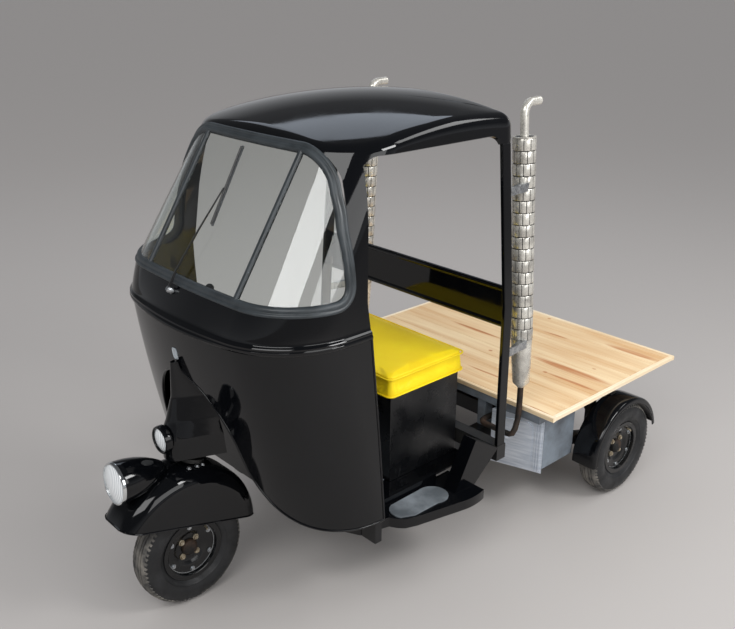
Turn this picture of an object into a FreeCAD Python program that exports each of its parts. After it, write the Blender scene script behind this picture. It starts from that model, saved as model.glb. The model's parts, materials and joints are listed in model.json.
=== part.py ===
import FreeCAD, Part
import math
import os

os.makedirs("parts", exist_ok=True)
V = FreeCAD.Vector

# A three-wheeled auto rickshaw with an open cab and a flat wooden deck. Millimetres.
# X points to the vehicle's left, -Y to the front, Z up from the ground. Places along Y are
# measured from the front axle, and save() moves the origin to the middle of the length.

# Driving dimensions
WHEELBASE = 1759.0
FRONT_AXLE_Y = 0.0
REAR_AXLE_Y = FRONT_AXLE_Y + WHEELBASE
HALF_TRACK = 615.0
SEAT_GAP = 0.3           # between pieces that rest on each other
MOVING_GAP = 6.0         # between pieces that move past each other

# Wheels: 4.00-8 tyres on split rims; X is measured from the wheel's middle plane
TYRE_R = 205.0
TYRE_HALF_W = 49.0
BEAD_R = 101.6
FLANGE_R = 118.0
RIM_HALF_W = 35.0
RIM_T = 4.0
DISC_HOLE_R = 32.0
DRUM_R = 82.0
DRUM_X = -52.0
HUB_R = 30.0
BORE_R = 12.5
AXLE_R = BORE_R - 0.5
WHEEL_Z = TYRE_R

# Cab
SHELL_T = 10.0
POST_T = 26.0
BELT_Z = 1052.0
WAIST_Z = 1165.0
WALL_REAR_Y = 740.0      # well behind the door posts, where their walls are cut off
ROOF_SEAM_Z = 1572.0
DOOR_TOP_Z = 1604.0
FLOOR_Z = 330.0
FLOOR_T = 6.0

# Deck
DECK_HALF_W = 619.0
DECK_FRONT_Y = 1282.0
DECK_REAR_Y = 2185.0
DECK_TOP_Z = 502.0
DECK_T = 20.0

# Steering axis: through the crown of the front guard, leaning back
STEER_Y = FRONT_AXLE_Y + 30.0
STEER_Z = 520.0
STEER_LEAN = math.radians(16.0)
STEM_R = 20.0


def box(x0, x1, y0, y1, z0, z1):
    return Part.makeBox(x1 - x0, y1 - y0, z1 - z0, V(x0, y0, z0))


def rod(start, end, radius):
    start, end = V(*start), V(*end)
    return Part.makeCylinder(radius, (end - start).Length, start, end - start)


def pipe(points, radius, bend):
    """A round bar along straight runs with bends between them."""
    points = [V(*p) for p in points]
    edges, here = [], points[0]
    for a, b, c in zip(points, points[1:], points[2:]):
        back, on = (a - b).normalize(), (c - b).normalize()
        half = 0.5 * back.getAngle(on)
        reach = bend / math.tan(half)
        centre = b + (back + on).normalize() * (bend / math.sin(half))
        start, end, middle = b + back * reach, b + on * reach, centre + (b - centre).normalize() * bend
        edges += [Part.makeLine(here, start), Part.Arc(start, middle, end).toShape()]
        here = end
    edges.append(Part.makeLine(here, points[-1]))
    ring = Part.Wire(Part.makeCircle(radius, points[0], points[1] - points[0]))
    return Part.Wire(edges).makePipeShell([ring], True, True)


def wire(place, start, *steps):
    """A closed outline: each step is a point to go straight to, or a pair (middle, end) of an arc."""
    edges, here = [], start
    for step in steps + (start,):
        if isinstance(step[0], tuple):
            edges.append(Part.Arc(place(*here), place(*step[0]), place(*step[1])).toShape())
            here = step[1]
        elif math.dist(here, step) > 1e-6:
            edges.append(Part.makeLine(place(*here), place(*step)))
            here = step
    return Part.Wire(edges)


def side_plate(x0, x1, start, *steps):
    """An outline of (y, z) points, pushed out along X."""
    return Part.Face(wire(lambda y, z: V(x0, y, z), start, *steps)).extrude(V(x1 - x0, 0, 0))


def front_plate(y0, y1, start, *steps):
    """An outline of (x, z) points, pushed out along Y."""
    return Part.Face(wire(lambda x, z: V(x, y0, z), start, *steps)).extrude(V(0, y1 - y0, 0))


def flat_plate(z0, z1, start, *steps):
    """An outline of (x, y) points, pushed out along Z."""
    return Part.Face(wire(lambda x, y: V(x, y, z0), start, *steps)).extrude(V(0, 0, z1 - z0))


def turned(x, y, z, start, *steps):
    """An outline of (x, radius) points turned about the X axis through (x, y, z)."""
    face = Part.Face(wire(lambda a, r: V(x + a, y, z + r), start, *steps))
    return face.revolve(V(x, y, z), V(1, 0, 0), 360)


def mirrored(shape):
    return shape.mirror(V(0, 0, 0), V(1, 0, 0))


def pair(shape):
    return Part.makeCompound([shape, mirrored(shape)])


def fuse(first, *others):
    return first.fuse(list(others)).removeSplitter()


# The front guard's skirt ends at an angle above the horizontal, as far forward as any piece
HOOD_Y = FRONT_AXLE_Y - 32.0
HOOD_Z = 268.0
HOOD_R = 282.0
SKIRT_ANGLE = math.radians(32.0)
FRONT_Y = HOOD_Y - HOOD_R * math.cos(SKIRT_ANGLE)
MIDDLE_Y = 0.5 * (FRONT_Y + DECK_REAR_Y)


def save(name, shape):
    if not shape.isValid():
        print("invalid", name)
    shape = shape.copy()
    shape.translate(V(0, -MIDDLE_Y, 0))
    shape.exportStep(f"parts/{name}.step")
    print(name, len(shape.Solids), round(shape.Volume / 1e3), "cm3")


# Cab outlines seen from above, at a height: the front face's place behind the front axle,
# the half width, the bow of the front and the radius of the corners
def plan(z, front, half, bow, corner, inset=0.0, rear=None):
    front = front + inset
    half, bow, corner = half - inset, bow - inset, corner - inset
    rear = post_rear(z) if rear is None else rear
    cx = half - corner
    depth = math.sqrt((bow - corner) ** 2 - cx**2)
    cy = front + bow - depth
    share = bow / (bow - corner)
    tx, ty = cx * share, front + bow - depth * share
    turn = 0.5 * math.atan2(depth, cx)
    mx, my = cx + corner * math.cos(turn), cy - corner * math.sin(turn)
    return wire(
        lambda x, y: V(x, y, z),
        (half, rear),
        (half, cy),
        ((mx, my), (tx, ty)),
        ((0.0, front), (-tx, ty)),
        ((-mx, my), (-half, cy)),
        (-half, rear),
    )


def post_rear(z):
    """Rear edge of the door posts, furthest forward at the waist."""
    return 409.0 + (0.063 * (WAIST_Z - z) if z < WAIST_Z else 0.1 * (z - WAIST_Z))


def stack_up(rows, inset=0.0, rear=None, ruled=False):
    return Part.makeLoft([plan(*row, inset=inset, rear=rear) for row in rows], True, ruled)


def wall(rows, outer, inner, rear=None, ruled=False):
    """The wall between two insets of a cab outline, open at the back."""
    body = stack_up(rows, outer, rear=rear, ruled=ruled)
    return body.cut(stack_up(rows, inner, rear=WALL_REAR_Y, ruled=ruled))


# Columns: z, front, half width, bow, corner radius
SHELL_ROWS = (
    (372.0, 128.0, 532.0, 1200.0, 300.0),
    (515.0, 92.0, 530.0, 1200.0, 305.0),
    (744.0, 50.0, 524.0, 1200.0, 308.0),
    (900.0, 16.0, 518.0, 1200.0, 304.0),
    (BELT_Z, 0.0, 512.0, 1200.0, 300.0),
)
COWL_ROWS = (
    (BELT_Z, 0.0, 512.0, 1200.0, 300.0),
    (WAIST_Z, 62.0, 501.0, 4000.0, 235.0),
)
RIB_H = 24.0
RIB_OUT = 8.0
SCREEN_ROWS = (
    (WAIST_Z, 62.0, 501.0, 4000.0, 235.0),
    (1760.0, 443.0, 443.4, 4000.0, 216.0),
)


def make_front_shell(gap=0.0):
    """The lower front skin, cut to an arch over the front wheel."""
    shell = wall(SHELL_ROWS, -gap, SHELL_T + gap)
    arch = front_plate(
        -250.0, 650.0, (0.0, 905.0), (110.0, 848.0), ((205.0, 730.0), (240.0, 610.0)),
        ((300.0, 490.0), (520.0, 371.0)), (520.0, 200.0), (0.0, 200.0),
    )
    return shell.cut([arch, mirrored(arch)])


def make_cowl():
    """The skin between the raised belt rib and the windscreen rubber."""
    cowl = wall(COWL_ROWS, 0.0, SHELL_T, ruled=True)
    base = COWL_ROWS[0][1:]
    rows = ((BELT_Z, *base), (BELT_Z + RIB_H, *base))
    rib = stack_up(rows, -RIB_OUT, ruled=True).cut(stack_up(rows, SHELL_T - 1.0, rear=WALL_REAR_Y, ruled=True))
    return fuse(cowl, rib)


# Windscreen: a rubber frame with two bars in a wrapped-round opening with sloped shoulders
GASKET_W = 37.0
GASKET_REAR_Y = 366.0
GASKET_TOP_Z = 1638.0
GASKET_FOOT_Z = WAIST_Z - 4.0
SHOULDER_Z = 1395.0
BAR_X = 255.0
BAR_W = 18.0


def screen_area(inset):
    """The opening's outline, from the side and from the front, as one solid."""
    rear, foot, top = GASKET_REAR_Y - inset, GASKET_FOOT_Z + inset, GASKET_TOP_Z - inset
    bend = 75.0 - inset
    lean = bend * (1.0 - math.sqrt(0.5))
    side = side_plate(
        -600.0, 600.0, (-250.0, foot), (rear - bend, foot),
        ((rear - lean, foot + lean), (rear, foot + bend)), (rear, SHOULDER_Z),
        (rear + 30.0, 1580.0), (rear + 60.0, top), (-250.0, top),
    )
    x = (600.0, 485.0 - inset, 428.0 - inset, 343.0 - 0.6 * inset, 270.0 - 0.4 * inset)
    mid_z, shoulder_z = 1512.0 - 0.3 * inset, 1611.0 - 0.8 * inset
    front = front_plate(
        -250.0, 650.0, (-x[0], 1100.0), (-x[0], SHOULDER_Z), (-x[1], SHOULDER_Z), (-x[2], mid_z),
        ((-x[3], shoulder_z), (-x[4], top)), (x[4], top), ((x[3], shoulder_z), (x[2], mid_z)),
        (x[1], SHOULDER_Z), (x[0], SHOULDER_Z), (x[0], 1100.0),
    )
    return side.common(front)


def make_windscreen():
    opening, pane = screen_area(0.0), screen_area(GASKET_W)
    back = WALL_REAR_Y - 20.0
    low, high = WAIST_Z, ROOF_SEAM_Z
    posts = side_plate(
        -600.0, 600.0, (-250.0, low), (post_rear(low), low), (post_rear(high), high), (-250.0, high),
    )
    surround = wall(SCREEN_ROWS, 0.0, POST_T, rear=back).common(posts).cut(opening)
    right_post = min(surround.Solids, key=lambda s: s.CenterOfMass.x)
    rubber = wall(SCREEN_ROWS, -5.0, 16.0, rear=back)
    frame = rubber.common(screen_area(SEAT_GAP)).cut(pane)
    bars = [box(x - BAR_W / 2, x + BAR_W / 2, -150.0, 550.0, WAIST_Z + 20.0, GASKET_TOP_Z - 20.0) for x in (-BAR_X, BAR_X)]
    frame = fuse(frame, *[wall(SCREEN_ROWS, -3.0, 14.0, rear=back).common(b) for b in bars])
    glass = wall(SCREEN_ROWS, 3.0, 8.0, rear=back).common(pane).cut(bars)
    panes = sorted(glass.Solids, key=lambda s: s.CenterOfMass.x)
    save("windscreen_surround", pair(right_post))
    save("windscreen_rubber", frame)
    save("windscreen_glass", Part.makeCompound(panes))


# Roof: it carries on the lean of the windscreen and the door posts, under a round crown
ROOF_REAR_Y = 1156.0
ROOF_CORNER_R = 60.0
ROOF_T = 14.0
ROOF_ROUND = 52.0
ROOF_TOP_Z = 1723.0
ROOF_CROWN_R = 2100.0
ROOF_MID_Y = 900.0
DOOR_CORNER_R = 66.0
DOOR_REAR_Y = 1076.0


def roof_body(inset):
    rear = ROOF_REAR_Y - inset
    body = stack_up(SCREEN_ROWS, inset, rear=rear)
    body = body.common(box(-600.0, 600.0, -250.0, 1250.0, ROOF_SEAM_Z - inset, 1800.0))
    corners = [e for e in body.Edges if abs(e.CenterOfMass.x) > 400.0 and min(v.Y for v in e.Vertexes) > rear - 1.0]
    corners = [e for e in corners if abs(e.Vertexes[0].Z - e.Vertexes[-1].Z) > 100.0]
    body = body.makeFillet(ROOF_CORNER_R - inset, corners)
    crown = Part.makeSphere(ROOF_CROWN_R, V(0, ROOF_MID_Y, ROOF_TOP_Z - inset - ROOF_CROWN_R))
    body = body.common(crown)
    top = max(body.Faces, key=lambda f: f.CenterOfMass.z)
    return body.makeFillet(ROOF_ROUND - inset, top.Edges)


def make_roof():
    r, y0, y1, z = DOOR_CORNER_R, post_rear(ROOF_SEAM_Z), DOOR_REAR_Y, DOOR_TOP_Z
    bend = r * (1.0 - math.sqrt(0.5))
    door = side_plate(
        -600.0, 600.0, (y0, ROOF_SEAM_Z - 40.0), (y0, ROOF_SEAM_Z), ((y0 + 16.0, z - 14.0), (y0 + 55.0, z)),
        (y1 - r, z), ((y1 - bend, z - bend), (y1, z - r)), (y1, ROOF_SEAM_Z - 40.0),
    )
    back = box(-400.0, 400.0, 950.0, 1250.0, 1500.0, 1625.0)
    return roof_body(0.0).cut([roof_body(ROOF_T), door, back, screen_area(0.0)])


# Rear posts of the cab. Columns: z, outer face, front face
REAR_POST_W = 16.0
REAR_POST_D = 50.0
REAR_POST_CHAMFER = 8.0
REAR_POST_ROWS = (
    (424.0, 530.0, 1058.0),
    (980.0, 514.0, 1074.0),
    (ROOF_SEAM_Z - SEAT_GAP, 461.6, 1074.0),
)
REAR_POST_FOOT = REAR_POST_ROWS[0]


def make_rear_post():
    """A box post with one chamfered corner, from the cross member to the roof."""
    w, d, c = REAR_POST_W, REAR_POST_D, REAR_POST_CHAMFER
    rows = []
    for z, x, y in REAR_POST_ROWS:
        rows.append(wire(
            lambda a, b: V(a, b, z), (x, y), (x, y + d - c), (x - c, y + d), (x - w, y + d), (x - w, y),
        ))
    return Part.makeLoft(rows, True, True)


def rear_post_at(z):
    """Outer and front faces of the left rear post at a height."""
    low, middle, high = REAR_POST_ROWS
    a, b = (low, middle) if z < middle[0] else (middle, high)
    share = (z - a[0]) / (b[0] - a[0])
    return a[1] + (b[1] - a[1]) * share, a[2] + (b[2] - a[2]) * share


# Back rest beam between the rear posts
BEAM_Z0 = 888.0
BEAM_Z1 = 1050.0
BEAM_ROLL_R = 11.0
BEAM_T = 10.0
BEAM_BACK = 40.0         # from the front faces of the posts to the beam's middle
TAB_Z = (940.0, 1000.0)


def make_back_beam():
    """A pressed board with rolled upper and lower edges."""
    x = rear_post_at(BEAM_Z1)[0] - REAR_POST_W - 6.0
    y = rear_post_at(BEAM_Z1)[1] + BEAM_BACK
    low, high = BEAM_Z0 + BEAM_ROLL_R, BEAM_Z1 - BEAM_ROLL_R
    plate = box(-x, x, y - BEAM_T / 2, y + BEAM_T / 2, low, high)
    rolls = [rod((-x, y, z), (x, y, z), BEAM_ROLL_R) for z in (low, high)]
    tab_x = rear_post_at(TAB_Z[1])[0] - REAR_POST_W - SEAT_GAP
    tab = box(x - 12.0, tab_x, y - BEAM_T / 2, y + BEAM_T / 2, *TAB_Z)
    return fuse(plate, *rolls, tab, mirrored(tab))


# Nose over the steering column. Columns: z, front, rear, front half width, rear half width
NOSE_FOOT_Z = 582.0
NOSE_ROWS = (
    (NOSE_FOOT_Z, -58.0, 120.0, 44.0, 104.0),
    (660.0, -64.0, 116.0, 46.0, 96.0),
    (720.0, -40.0, 108.0, 30.0, 86.0),
    (800.0, -16.0, 92.0, 17.0, 66.0),
    (925.0, -10.0, 40.0, 8.0, 20.0),
)
NOSE_T = 4.0
NOSE_LAMP_Y = FRONT_AXLE_Y - 69.0
NOSE_LAMP_Z = 659.0
NOSE_LAMP_R = 42.0


def nose_body(inset):
    rows = []
    for z, front, rear, fh, rh in NOSE_ROWS:
        f, r = FRONT_AXLE_Y + front + inset, FRONT_AXLE_Y + rear + (60.0 if inset else 0.0)
        fh, rh = max(fh - inset, 2.0), max(rh - inset, 6.0)
        rows.append(wire(
            lambda x, y: V(x, y, z), (rh, r), (fh, f + fh * 0.6), ((0.0, f), (-fh, f + fh * 0.6)), (-rh, r),
        ))
    return Part.makeLoft(rows, True, True)


def make_nose():
    """A folded cover with an open back and foot, and a round hole for its lamp."""
    cover = nose_body(0.0).cut(nose_body(NOSE_T))
    hole = rod((0, NOSE_LAMP_Y - 60.0, NOSE_LAMP_Z), (0, NOSE_LAMP_Y + 60.0, NOSE_LAMP_Z), NOSE_LAMP_R)
    lamp = rod((0, NOSE_LAMP_Y - 8.0, NOSE_LAMP_Z), (0, NOSE_LAMP_Y + 26.0, NOSE_LAMP_Z), NOSE_LAMP_R - SEAT_GAP)
    save("nose_cover", cover.cut([hole, make_front_shell(SEAT_GAP)]))
    save("nose_lamp", lamp)


# Floor, bulkhead, sills and mat
FLOOR_FRONT_Y = FRONT_AXLE_Y + 318.0
FLOOR_REAR_Y = 1060.0
HEAD_R = 32.0
HEAD_Z = (640.0, 960.0)


def steer_point(z):
    """The place on the steering axis at a height."""
    return V(0, STEER_Y + (z - STEER_Z) * math.tan(STEER_LEAN), z)


def make_floor():
    """The floor plate, the bulkhead that shuts off the front wheel, and the steering head in it."""
    t, y, z = FLOOR_T, FLOOR_FRONT_Y, FLOOR_Z
    half = SILL_X[0] - SEAT_GAP
    plate = box(-half, half, y, FLOOR_REAR_Y, z - t, z)
    bulkhead = side_plate(
        -600.0, 600.0, (y, z - t), (y - 60.0, z + 500.0), (y - 250.0, z + 600.0),
        (y - 250.0 + t, z + 600.0 + t), (y - 60.0 + t, z + 500.0 + t), (y + t, z),
    )
    room = stack_up(SHELL_ROWS, SHELL_T + SEAT_GAP, rear=WALL_REAR_Y)
    foot = box(-half, half, y - 60.0, y + 20.0, z - t, SHELL_ROWS[0][0])
    head = rod(tuple(steer_point(HEAD_Z[0])), tuple(steer_point(HEAD_Z[1])), HEAD_R)
    bore = rod(tuple(steer_point(HEAD_Z[0] - 40.0)), tuple(steer_point(HEAD_Z[1] + 40.0)), STEM_R + SEAT_GAP)
    return fuse(plate, bulkhead.common(room), bulkhead.common(foot), head).cut(bore)


SILL_TOP_Z = 318.0
SILL_T = 38.0
SILL_X = (400.0, 480.0, 521.7)
RIDGE_W = 18.0


def make_sill():
    """The step plate with its inner ridge, its front foot in the shell, and the arm to the rear post."""
    x0, x1, x2 = SILL_X
    step = flat_plate(
        SILL_TOP_Z - SILL_T, SILL_TOP_Z, (x0, 400.0), (450.0, 425.0), (478.0, 536.0), ((505.0, 552.0), (526.0, 572.0)),
        (541.0, 612.0), (584.0, 800.0), ((592.0, 860.0), (584.0, 925.0)), (x0, 925.0),
    )
    ridge = box(x0, x0 + RIDGE_W, 430.0, 840.0, SILL_TOP_Z - 1.0, FLOOR_Z + 18.0)
    post = box(x1 - 20.0, x2 + 10.0, 428.0, 458.0, SHELL_ROWS[0][0], 470.0)
    post = post.common(stack_up(SHELL_ROWS, SHELL_T + SEAT_GAP, rear=WALL_REAR_Y))
    foot = box(x1 - 20.0, x2, 428.0, 458.0, SILL_TOP_Z - SILL_T, SHELL_ROWS[0][0])
    brace = box(x1 - 60.0, x1, 428.0, 458.0, SILL_TOP_Z - SILL_T, SILL_TOP_Z)
    arm = side_plate(
        474.0, 534.0, (820.0, SILL_TOP_Z - 1.0), (885.0, SILL_TOP_Z - SILL_T), (1057.7, 423.0), (925.0, 505.0),
    )
    return fuse(step, ridge, post, foot, brace, arm)


MAT_T = 5.0


def make_mat():
    """A rubber pad with round ends on each step, and a plain one on the floor."""
    pad = flat_plate(
        SILL_TOP_Z, SILL_TOP_Z + MAT_T, (430.0, 592.0), ((464.0, 556.0), (510.0, 562.0)), (533.0, 612.0),
        (534.0, 730.0), ((512.0, 804.0), (468.0, 808.0)), ((440.0, 790.0), (426.0, 754.0)),
    )
    floor = box(-300.0, 300.0, 412.0, 680.0, FLOOR_Z, FLOOR_Z + MAT_T)
    return Part.makeCompound([pad, mirrored(pad), floor])


# Seat
SEAT_HALF_W = 340.0
SEAT_FRONT_Y = 668.0
SEAT_REAR_Y = 1072.0
SEAT_BASE_TOP_Z = 676.0
CUSHION_T = 94.0


def make_seat():
    base = box(-322.0, 322.0, 688.0, 1050.0, FLOOR_Z, SEAT_BASE_TOP_Z)
    base = base.cut(box(-316.0, 316.0, 694.0, 1044.0, FLOOR_Z - 1.0, SEAT_BASE_TOP_Z - 6.0))
    z = SEAT_BASE_TOP_Z + SEAT_GAP
    cushion = box(-SEAT_HALF_W, SEAT_HALF_W, SEAT_FRONT_Y, SEAT_REAR_Y, z, z + CUSHION_T)
    upright = [e for e in cushion.Edges if abs(e.Vertexes[0].Z - e.Vertexes[1].Z) > 50.0]
    cushion = cushion.makeFillet(24.0, upright)
    save("seat_base", base)
    save("seat_cushion", cushion)


# Chassis under cab and deck
RAIL_X0 = 220.3
RAIL_W = 50.0
RAIL_Z0 = 244.0
RAIL_Z1 = 324.0 - SEAT_GAP
RAIL_FRONT_Y = 390.0
RAIL_REAR_Y = 2130.0
CROSS_Y = (450.0, 1058.0, 1470.0, 2080.0)
CROSS_D = 60.0
POST_CROSS_Z1 = REAR_POST_FOOT[0] - SEAT_GAP
DECK_FRAME_Z1 = DECK_TOP_Z - DECK_T - SEAT_GAP
DECK_FRAME_H = 36.0
DECK_FRAME_HALF_W = 552.0
DECK_FRAME_T = 30.0


def make_chassis():
    rails = []
    for s in (-1, 1):
        x0, x1 = sorted((s * RAIL_X0, s * (RAIL_X0 + RAIL_W)))
        rails.append(box(x0, x1, RAIL_FRONT_Y, RAIL_REAR_Y, RAIL_Z0, RAIL_Z1))
    x = RAIL_X0 + 2.0
    bars = [box(-x, x, y, y + CROSS_D, RAIL_Z0 + 6.0, RAIL_Z1 - 6.0) for y in CROSS_Y]
    return fuse(rails[0], rails[1], *bars)


def make_post_cross():
    """The cross member that carries the rear posts, on two short columns on the rails."""
    x, y = REAR_POST_FOOT[1:]
    beam = box(-x, x, y, y + REAR_POST_D, POST_CROSS_Z1 - 62.0, POST_CROSS_Z1)
    columns = [box(s * 245.0 - 20.0, s * 245.0 + 20.0, y + 4.0, y + 48.0, RAIL_Z1 + SEAT_GAP, POST_CROSS_Z1 - 60.0) for s in (-1, 1)]
    return fuse(beam, *columns)


def make_deck_frame():
    """A steel frame under the boards, on posts that stand on the rails."""
    z0, z1 = DECK_FRAME_Z1 - DECK_FRAME_H, DECK_FRAME_Z1
    y0, y1 = DECK_FRONT_Y + 6.0, DECK_REAR_Y - 20.0
    outer = box(-DECK_FRAME_HALF_W, DECK_FRAME_HALF_W, y0, y1, z0, z1)
    t = DECK_FRAME_T
    inner = box(-DECK_FRAME_HALF_W + t, DECK_FRAME_HALF_W - t, y0 + t, y1 - t, z0 - 1.0, z1 + 1.0)
    ring = outer.cut(inner)
    x = RAIL_X0 + RAIL_W
    bars = [box(s * x - (50.0 if s > 0 else 0.0), s * x + (50.0 if s < 0 else 0.0), y0 + 2.0, y1 - 2.0, z0, z1) for s in (-1, 1)]
    posts = []
    for y in (y0 + 10.0, 1510.0, y1 - 90.0):
        for s in (-1, 1):
            posts.append(box(s * (x - 25.0) - 20.0, s * (x - 25.0) + 20.0, y, y + 50.0, RAIL_Z1 + SEAT_GAP, z0 + 2.0))
    return fuse(ring, *bars, *posts)


def make_deck():
    edge = 18.0
    z0 = DECK_TOP_Z - DECK_T
    board = box(-DECK_HALF_W + edge, DECK_HALF_W - edge, DECK_FRONT_Y + edge, DECK_REAR_Y - edge, z0, DECK_TOP_Z)
    rim = box(-DECK_HALF_W, DECK_HALF_W, DECK_FRONT_Y, DECK_REAR_Y, z0, DECK_TOP_Z)
    save("deck_board", board)
    save("deck_trim", rim.cut(board))


# Side boxes under the deck, with embossed front panels
SIDE_BOX = (330.0, 548.0, 1338.0, 1540.0, 222.0, DECK_FRAME_Z1 - DECK_FRAME_H - SEAT_GAP)

SIDE_BOX_SLANT = 70.0    # the front's inner edge ahead of its outer edge


def make_side_box():
    """A closed box whose front slants back towards the vehicle's side."""
    x0, x1, y0, y1, z0, z1 = SIDE_BOX
    return flat_plate(z0, z1, (x0, y0 - SIDE_BOX_SLANT), (x1, y0), (x1, y1), (x0, y1))


def make_front_panel():
    """An embossed sheet with a round boss, on the slanted front of a side box."""
    x0, x1, y0, y1, z0, z1 = SIDE_BOX
    slope = SIDE_BOX_SLANT / (x1 - x0)
    angle = math.degrees(math.atan(slope))
    width = math.hypot(x1 - x0, SIDE_BOX_SLANT) - 4.0
    sheet = box(0.0, width, -4.0, 0.0, -20.0, z1 - z0 - 2.0)
    raised = box(22.0, width - 46.0, -9.0, -3.0, 12.0, z1 - z0 - 26.0)
    upright = [e for e in raised.Edges if abs(e.Vertexes[0].Y - e.Vertexes[1].Y) > 3.0]
    raised = raised.makeFillet(26.0, upright)
    boss = Part.makeSphere(15.0, V(66.0, -8.0, 0.52 * (z1 - z0))).common(box(0.0, width, -40.0, -8.0, 0.0, 300.0))
    folds = [box(width - 34.0 + 10.0 * i, width - 29.0 + 10.0 * i, -9.0, -3.0, -16.0, z1 - z0 - 6.0) for i in range(3)]
    panel = fuse(sheet, raised, boss, *folds)
    panel.rotate(V(0, 0, 0), V(0, 0, 1), angle)
    panel.translate(V(x0, y0 - SIDE_BOX_SLANT - SEAT_GAP, z0))
    return panel


ENGINE = (-220.0, 220.0, 1610.0, 1950.0, 196.0, 420.0)


def make_engine():
    """The engine and gearbox as one block between the rails."""
    return box(*ENGINE)


# Rear suspension: trailing arms with stub axles, and dampers
ARM_PIVOT = (1575.0, 226.0)
DAMPER_SEAT_Z = 266.0
ARM_X0 = RAIL_X0 + RAIL_W + SEAT_GAP
ARM_X1 = HALF_TRACK + DRUM_X - MOVING_GAP
ARM_T = 36.0


def make_rear_arm():
    y0, z = ARM_PIVOT
    tube = rod((ARM_X0, y0, z + 40.0), (ARM_X1 - 60.0, y0, z + 40.0), 20.0)
    arm = side_plate(
        ARM_X1 - 60.0, ARM_X1 - 24.0, (y0 - 26.0, z + 28.0), (y0 - 26.0, z + 54.0), (y0 + 20.0, z + 62.0),
        (REAR_AXLE_Y, WHEEL_Z + 34.0), (REAR_AXLE_Y + 34.0, WHEEL_Z), (REAR_AXLE_Y, WHEEL_Z - 34.0),
    )
    knuckle = rod((ARM_X1 - 40.0, REAR_AXLE_Y, WHEEL_Z), (ARM_X1, REAR_AXLE_Y, WHEEL_Z), 32.0)
    axle = rod((ARM_X1 - 10.0, REAR_AXLE_Y, WHEEL_Z), (HALF_TRACK + 4.0, REAR_AXLE_Y, WHEEL_Z), AXLE_R)
    x, y = ARM_X1 - 42.0, REAR_AXLE_Y - 60.0
    seat = box(x - 18.0, x + 18.0, y - 22.0, y + 22.0, WHEEL_Z, DAMPER_SEAT_Z)
    return fuse(arm, tube, knuckle, axle, seat)


def make_rear_damper():
    x, y = ARM_X1 - 42.0, REAR_AXLE_Y - 60.0
    z0, z1 = DAMPER_SEAT_Z + SEAT_GAP, DECK_FRAME_Z1 - DECK_FRAME_H - SEAT_GAP
    body = rod((x, y, z0), (x, y, z1 - 60.0), 20.0)
    cover = rod((x, y, z1 - 80.0), (x, y, z1), 25.0)
    return fuse(body, cover)


# Rear guards over the front and top of the rear wheels
GUARD_R = 235.0
GUARD_HALF_W = 58.0
GUARD_T = 4.0
GUARD_LIP = 22.0


def make_rear_guard():
    """A strip bent round the wheel, with lips turned down on both sides."""
    w, r, t = GUARD_HALF_W, GUARD_R, GUARD_T
    start = (-w, r - GUARD_LIP)
    ring = turned(
        HALF_TRACK, REAR_AXLE_Y, WHEEL_Z, start, (-w, r - 12.0), ((-w + 4.0, r - 4.0), (-w + 14.0, r - 1.0)),
        ((0.0, r), (w - 14.0, r - 1.0)), ((w - 4.0, r - 4.0), (w, r - 12.0)), (w, r - GUARD_LIP),
        (w - t, r - GUARD_LIP), (w - t, r - 12.0), (w - 14.0, r - 1.0 - t), (-w + 14.0, r - 1.0 - t),
        (-w + t, r - 12.0), (-w + t, r - GUARD_LIP),
    )
    x0, x1 = HALF_TRACK - w - 1.0, HALF_TRACK + w + 1.0
    below = side_plate(
        x0, x1, (REAR_AXLE_Y, WHEEL_Z), (REAR_AXLE_Y - 300.0, WHEEL_Z - 10.0), (REAR_AXLE_Y - 300.0, WHEEL_Z - 300.0),
        (REAR_AXLE_Y + 300.0, WHEEL_Z - 300.0), (REAR_AXLE_Y + 300.0, WHEEL_Z + 70.0),
    )
    z1 = DECK_FRAME_Z1 - DECK_FRAME_H - SEAT_GAP
    tab = box(DECK_FRAME_HALF_W - 26.0, HALF_TRACK - w + 30.0, REAR_AXLE_Y - 20.0, REAR_AXLE_Y + 20.0, z1 - 8.0, z1)
    return fuse(ring.cut(below), tab)


# Wheels
def make_tyre(x, y):
    w, r = TYRE_HALF_W, TYRE_R
    bead = RIM_HALF_W - RIM_T - SEAT_GAP
    return turned(
        x, y, WHEEL_Z, (-bead, BEAD_R + SEAT_GAP), (-bead, FLANGE_R + 2.0), ((-w, 158.0), (-w + 11.0, r - 9.0)),
        ((0.0, r), (w - 11.0, r - 9.0)), ((w, 158.0), (bead, FLANGE_R + 2.0)), (bead, BEAD_R + SEAT_GAP),
    )


def make_rim(x, y, side):
    """A split rim with a dished disc; side is 1 where the dish faces +X."""
    w, t, b = RIM_HALF_W, RIM_T, BEAD_R
    rows = (
        (-w, b - t), (-w, FLANGE_R), (-w + t, FLANGE_R), (-w + t, b), (w - t, b), (w - t, FLANGE_R), (w, FLANGE_R),
        (w, b - t), (20.0, b - t), (16.0, 70.0), (6.0, 54.0), (6.0, DISC_HOLE_R), (2.0, DISC_HOLE_R), (2.0, 56.0),
        (12.0, 72.0), (16.0, b - t),
    )
    return turned(x, y, WHEEL_Z, *[(side * a, r) for a, r in rows])


def make_hub(x, y, side):
    """A brake drum with a blind bore, and the grease cap in the disc's hole."""
    rows = (
        (DRUM_X, BORE_R), (DRUM_X, DRUM_R), (-8.0, DRUM_R), (-8.0, 60.0), (1.7, 60.0), (1.7, HUB_R), (15.0, HUB_R),
        (22.0, 22.0), (22.0, 0.0), (8.0, 0.0), (8.0, BORE_R),
    )
    return turned(x, y, WHEEL_Z, *[(side * a, r) for a, r in rows])


WHEELS = (
    ("front", 0.0, FRONT_AXLE_Y, 1),
    ("rear_left", HALF_TRACK, REAR_AXLE_Y, 1),
    ("rear_right", -HALF_TRACK, REAR_AXLE_Y, -1),
)


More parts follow.
